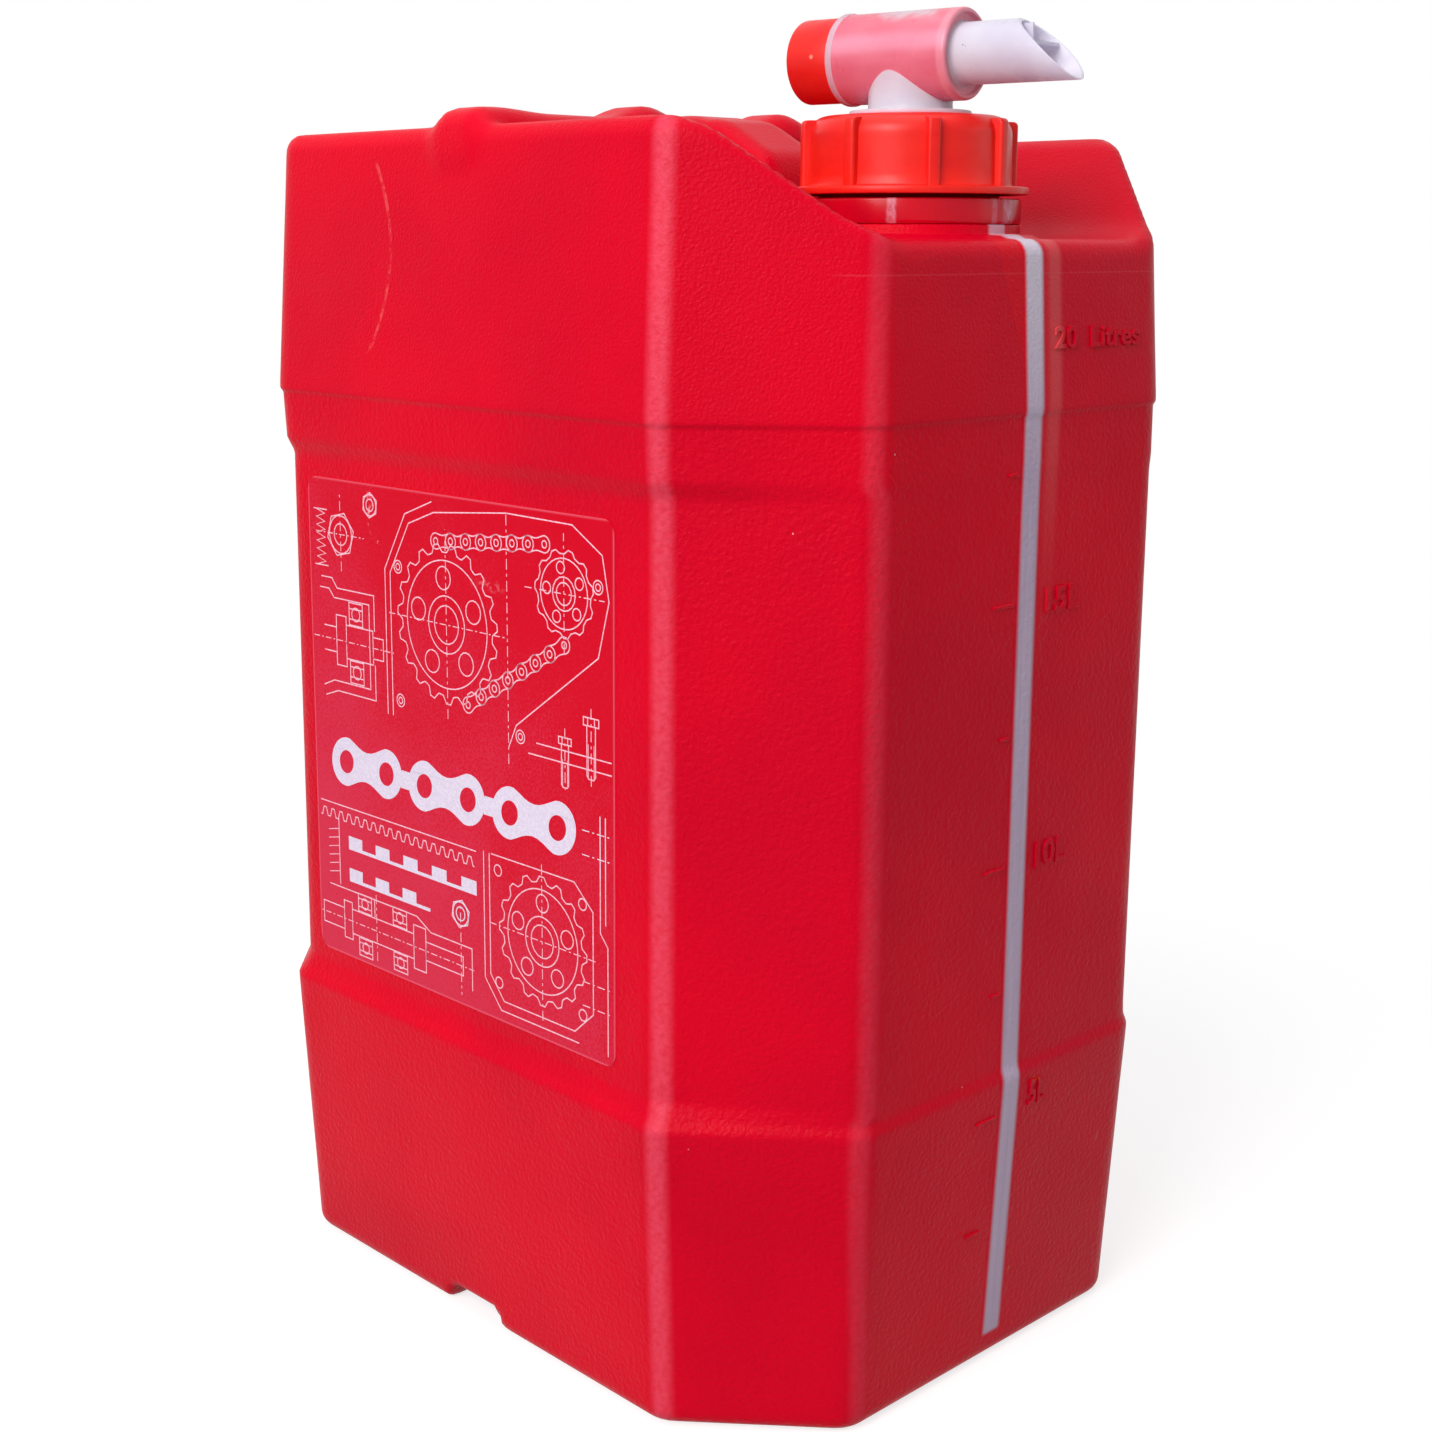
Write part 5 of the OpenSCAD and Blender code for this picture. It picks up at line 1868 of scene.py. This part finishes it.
    def build(self, film: Material, ink: Material) -> None:
        """Builds the film and its print."""
        dress(mesh_object("label_sheet", *self.film(), 50.0), film, Body.CAN, "label_film", "side_label")
        self.drawing()
        self.strokes = [s for s in self.strokes if not self.hidden(s[0])]
        self.bold()
        dress(mesh_object("label_drawing", *self.ink(self.thick), 50.0), ink, Body.CAN, "label_ink",
            "label_print")
        LOG.info("label: %d lines", len(self.strokes))

    def hidden(self, line: Sequence[Pair]) -> bool:
        """Whether a line runs through the place of the bold shapes."""

        def covered(u: float, v: float) -> bool:
            """Whether a bold shape lies at a place."""
            plates = -26.0 < v < -2.0 and -66.0 < u < 62.0
            bars = -60.0 < v < -39.5 and -64.0 < u < 14.0 and not (v < -48.0 and u > -12.0)
            return plates or bars

        return any(covered(u, v) for u, v in line)


def plate_outline(half: float, r: float, waist: float, steps: int) -> list[Pair]:
    """A chain plate's outline: two round ends and a drawn-in waist.

    Args:
        half: Half the pitch between its two eyes.
        r: Radius of its ends.
        waist: Half height of the waist as a share of that radius.
        steps: Points per end.

    Returns:
        The outline, anticlockwise.
    """
    points = []
    for k in range(steps + 1):
        a = radians(-100 + 200 * k / steps)
        points.append((half + r * cos(a), r * sin(a)))
    start, end = points[-1], (-points[-1][0], points[-1][1])
    top = []
    for k in range(1, 8):
        t = k / 8
        u = start[0] + (end[0] - start[0]) * t
        top.append((u, start[1] - (start[1] - r * waist) * sin(pi * t) ** 1.2))
    points += top
    points += [(-u, -v) for u, v in points]
    return points


def unit(x: float, y: float) -> Pair | None:
    """The direction of a vector, or None where it has no length."""
    size = hypot(x, y)
    return (x / size, y / size) if size > 1e-9 else None


def area(points: Sequence[Pair], loop: Sequence[int]) -> float:
    """Signed area of a triangle."""
    (ax, ay), (bx, by), (cx, cy) = (points[i] for i in loop)
    return (bx - ax) * (cy - ay) - (cx - ax) * (by - ay)


# Studio


@dataclass(frozen=True)
class Studio:
    """The pale floor, the soft lights and the camera at the photograph's angle."""

    eye: Spot = (-524.1, -532.7, 374.8)
    yaw: float = 43.43
    pitch: float = -11.08
    roll: float = 0.15
    lens: float = 52.24
    shift: Pair = (0.0342, -0.0508)
    room: float = 0.33
    paper: float = 0.26

    def camera(self) -> Object:
        """Makes the camera and hands it to the scene."""
        data = bpy.data.cameras.new("view")
        data.lens = self.lens
        data.sensor_width = 36.0
        data.sensor_fit = "HORIZONTAL"
        data.shift_x, data.shift_y = self.shift
        data.clip_start, data.clip_end = 0.01, 20.0
        cam = linked("view", data)
        yaw, pitch = radians(self.yaw), radians(self.pitch)
        ahead = Vector((sin(yaw) * cos(pitch), cos(yaw) * cos(pitch), sin(pitch)))
        right = ahead.cross(Vector((0, 0, 1))).normalized()
        up = right.cross(ahead)
        turn = Matrix((right, up, -ahead)).transposed() @ Matrix.Rotation(radians(self.roll), 3, "Z")
        cam.matrix_world = Matrix.Translation(Vector(self.eye) * MM) @ turn.to_4x4()
        bpy.context.scene.camera = cam
        return cam

    def lamp(self, name: str, place: Spot, aim: Spot, size: Pair, watts: float,
            colour: Spot = (1, 1, 1)) -> None:
        """Hangs one soft rectangular lamp."""
        data = bpy.data.lights.new(name, "AREA")
        data.shape = "RECTANGLE"
        data.size, data.size_y = size
        data.energy = watts
        data.color = colour
        lamp = linked(name, data)
        direction = Vector(aim) - Vector(place)
        lamp.matrix_world = Matrix.Translation(Vector(place)) @ direction.to_track_quat("-Z",
            "Y").to_matrix().to_4x4()

    def floor(self) -> Object:
        """Lays the pale floor."""
        size, n = 8.0, 8
        verts = [(size * (i / n - 0.5), size * (j / n - 0.5),
            -0.0004) for i in range(n + 1) for j in range(n + 1)]
        faces = [[i * (n + 1) + j, (i + 1) * (n + 1) + j, (i + 1) * (n + 1) + j + 1,
            i * (n + 1) + j + 1] for i in range(n) for j in range(n)]
        obj = mesh_object("floor", np.array(verts) / MM, faces)
        obj.data.materials.append(self.floor_material())
        return obj

    def seen(self, tree: bpy.types.NodeTree) -> Socket:
        """1 for the rays by which the background is seen, straight or in a surface."""
        path = tree.nodes.new("ShaderNodeLightPath")
        total = path.outputs["Is Camera Ray"]
        for name in ("Is Glossy Ray", "Is Transmission Ray"):
            node = tree.nodes.new("ShaderNodeMath")
            node.operation = "MAXIMUM"
            tree.links.new(total, node.inputs[0])
            tree.links.new(path.outputs[name], node.inputs[1])
            total = node.outputs[0]
        return total

    def floor_material(self) -> Material:
        """White paper: lit and shaded near the object, and plain white to the eye where no shadow falls."""
        r = Recipe("floor_paper")
        r.shade("Base Color", linear(172, 172, 172))
        r.shade("Roughness", 0.95)
        r.shade("Specular IOR Level", 0.0)
        near = r.span(r.far(r.x, r.y), 0.24, 0.50, 1.0, 0.0)
        glow = r.node("ShaderNodeEmission", (1, 1, 1), 1.0)
        lift = r.node("ShaderNodeEmission", (1, 1, 1), 1.0 - self.paper)
        raised = r.node("ShaderNodeAddShader", r.shader.outputs[0], lift)
        fade = r.node("ShaderNodeMixShader", near, glow, raised)
        return r.surface(r.node("ShaderNodeMixShader", self.seen(r.tree), r.shader.outputs[0], fade))

    def build(self) -> None:
        """Sets the world, the floor, the lamps and the colour management."""
        scene = bpy.context.scene
        scene.view_settings.view_transform = "Standard"
        world = bpy.data.worlds.new("soft_room")
        scene.world = world
        world.use_nodes = True
        tree = world.node_tree
        tree.nodes.clear()
        out = tree.nodes.new("ShaderNodeOutputWorld")
        room, white = tree.nodes.new("ShaderNodeBackground"), tree.nodes.new("ShaderNodeBackground")
        room.inputs["Color"].default_value = (0.95, 0.96, 1.0, 1)
        room.inputs["Strength"].default_value = self.room
        white.inputs["Color"].default_value = (1, 1, 1, 1)
        white.inputs["Strength"].default_value = 1.0
        seen = tree.nodes.new("ShaderNodeMixShader")
        tree.links.new(self.seen(tree), seen.inputs[0])
        tree.links.new(room.outputs[0], seen.inputs[1])
        tree.links.new(white.outputs[0], seen.inputs[2])
        tree.links.new(seen.outputs[0], out.inputs["Surface"])
        self.floor()
        self.lamp("key", (-1.72, -0.45, 1.3), (0, 0, 0.25), (1.1, 1.2), 35.0, (1.0, 0.98, 0.97))
        self.lamp("top", (-0.2, -0.1, 1.8), (0, 0, 0.3), (1.2, 1.2), 7.0)
        self.lamp("fill", (1.2, -1.5, 0.8), (0, 0, 0.2), (0.7, 1.2), 2.0)


def main() -> None:
    """Builds every sub-assembly in order and reports each piece."""
    logging.basicConfig(level=logging.INFO, format="%(name)s %(message)s")
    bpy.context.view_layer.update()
    studio = Studio()
    studio.camera()
    studio.build()
    can = Can()
    red = RedPolyethylene().build(can.size)
    cap_red = MouldedPlastic("cap_polypropylene", (236, 34, 22), (226, 20, 20), 0.32).build()
    ring_red = RingPlastic().build(Cap().axis)
    rubber = MouldedPlastic("seal_rubber", (214, 208, 198), (202, 196, 186), 0.6, 0.0).build()
    dress(can.build_skin(), red, Body.CAN, "can_red", *CAN_NODES)
    Front(can).build(red)
    Neck().build(red, rubber)
    Cap().build(cap_red, ring_red)
    tap = Tap()
    tap.build(MilkyPlastic().build(tap), KnobPlastic().build(tap))
    label = Label()
    label.build(LabelFilm().build(label), LabelInk().build(label))


if __name__ == "__main__":
    main()
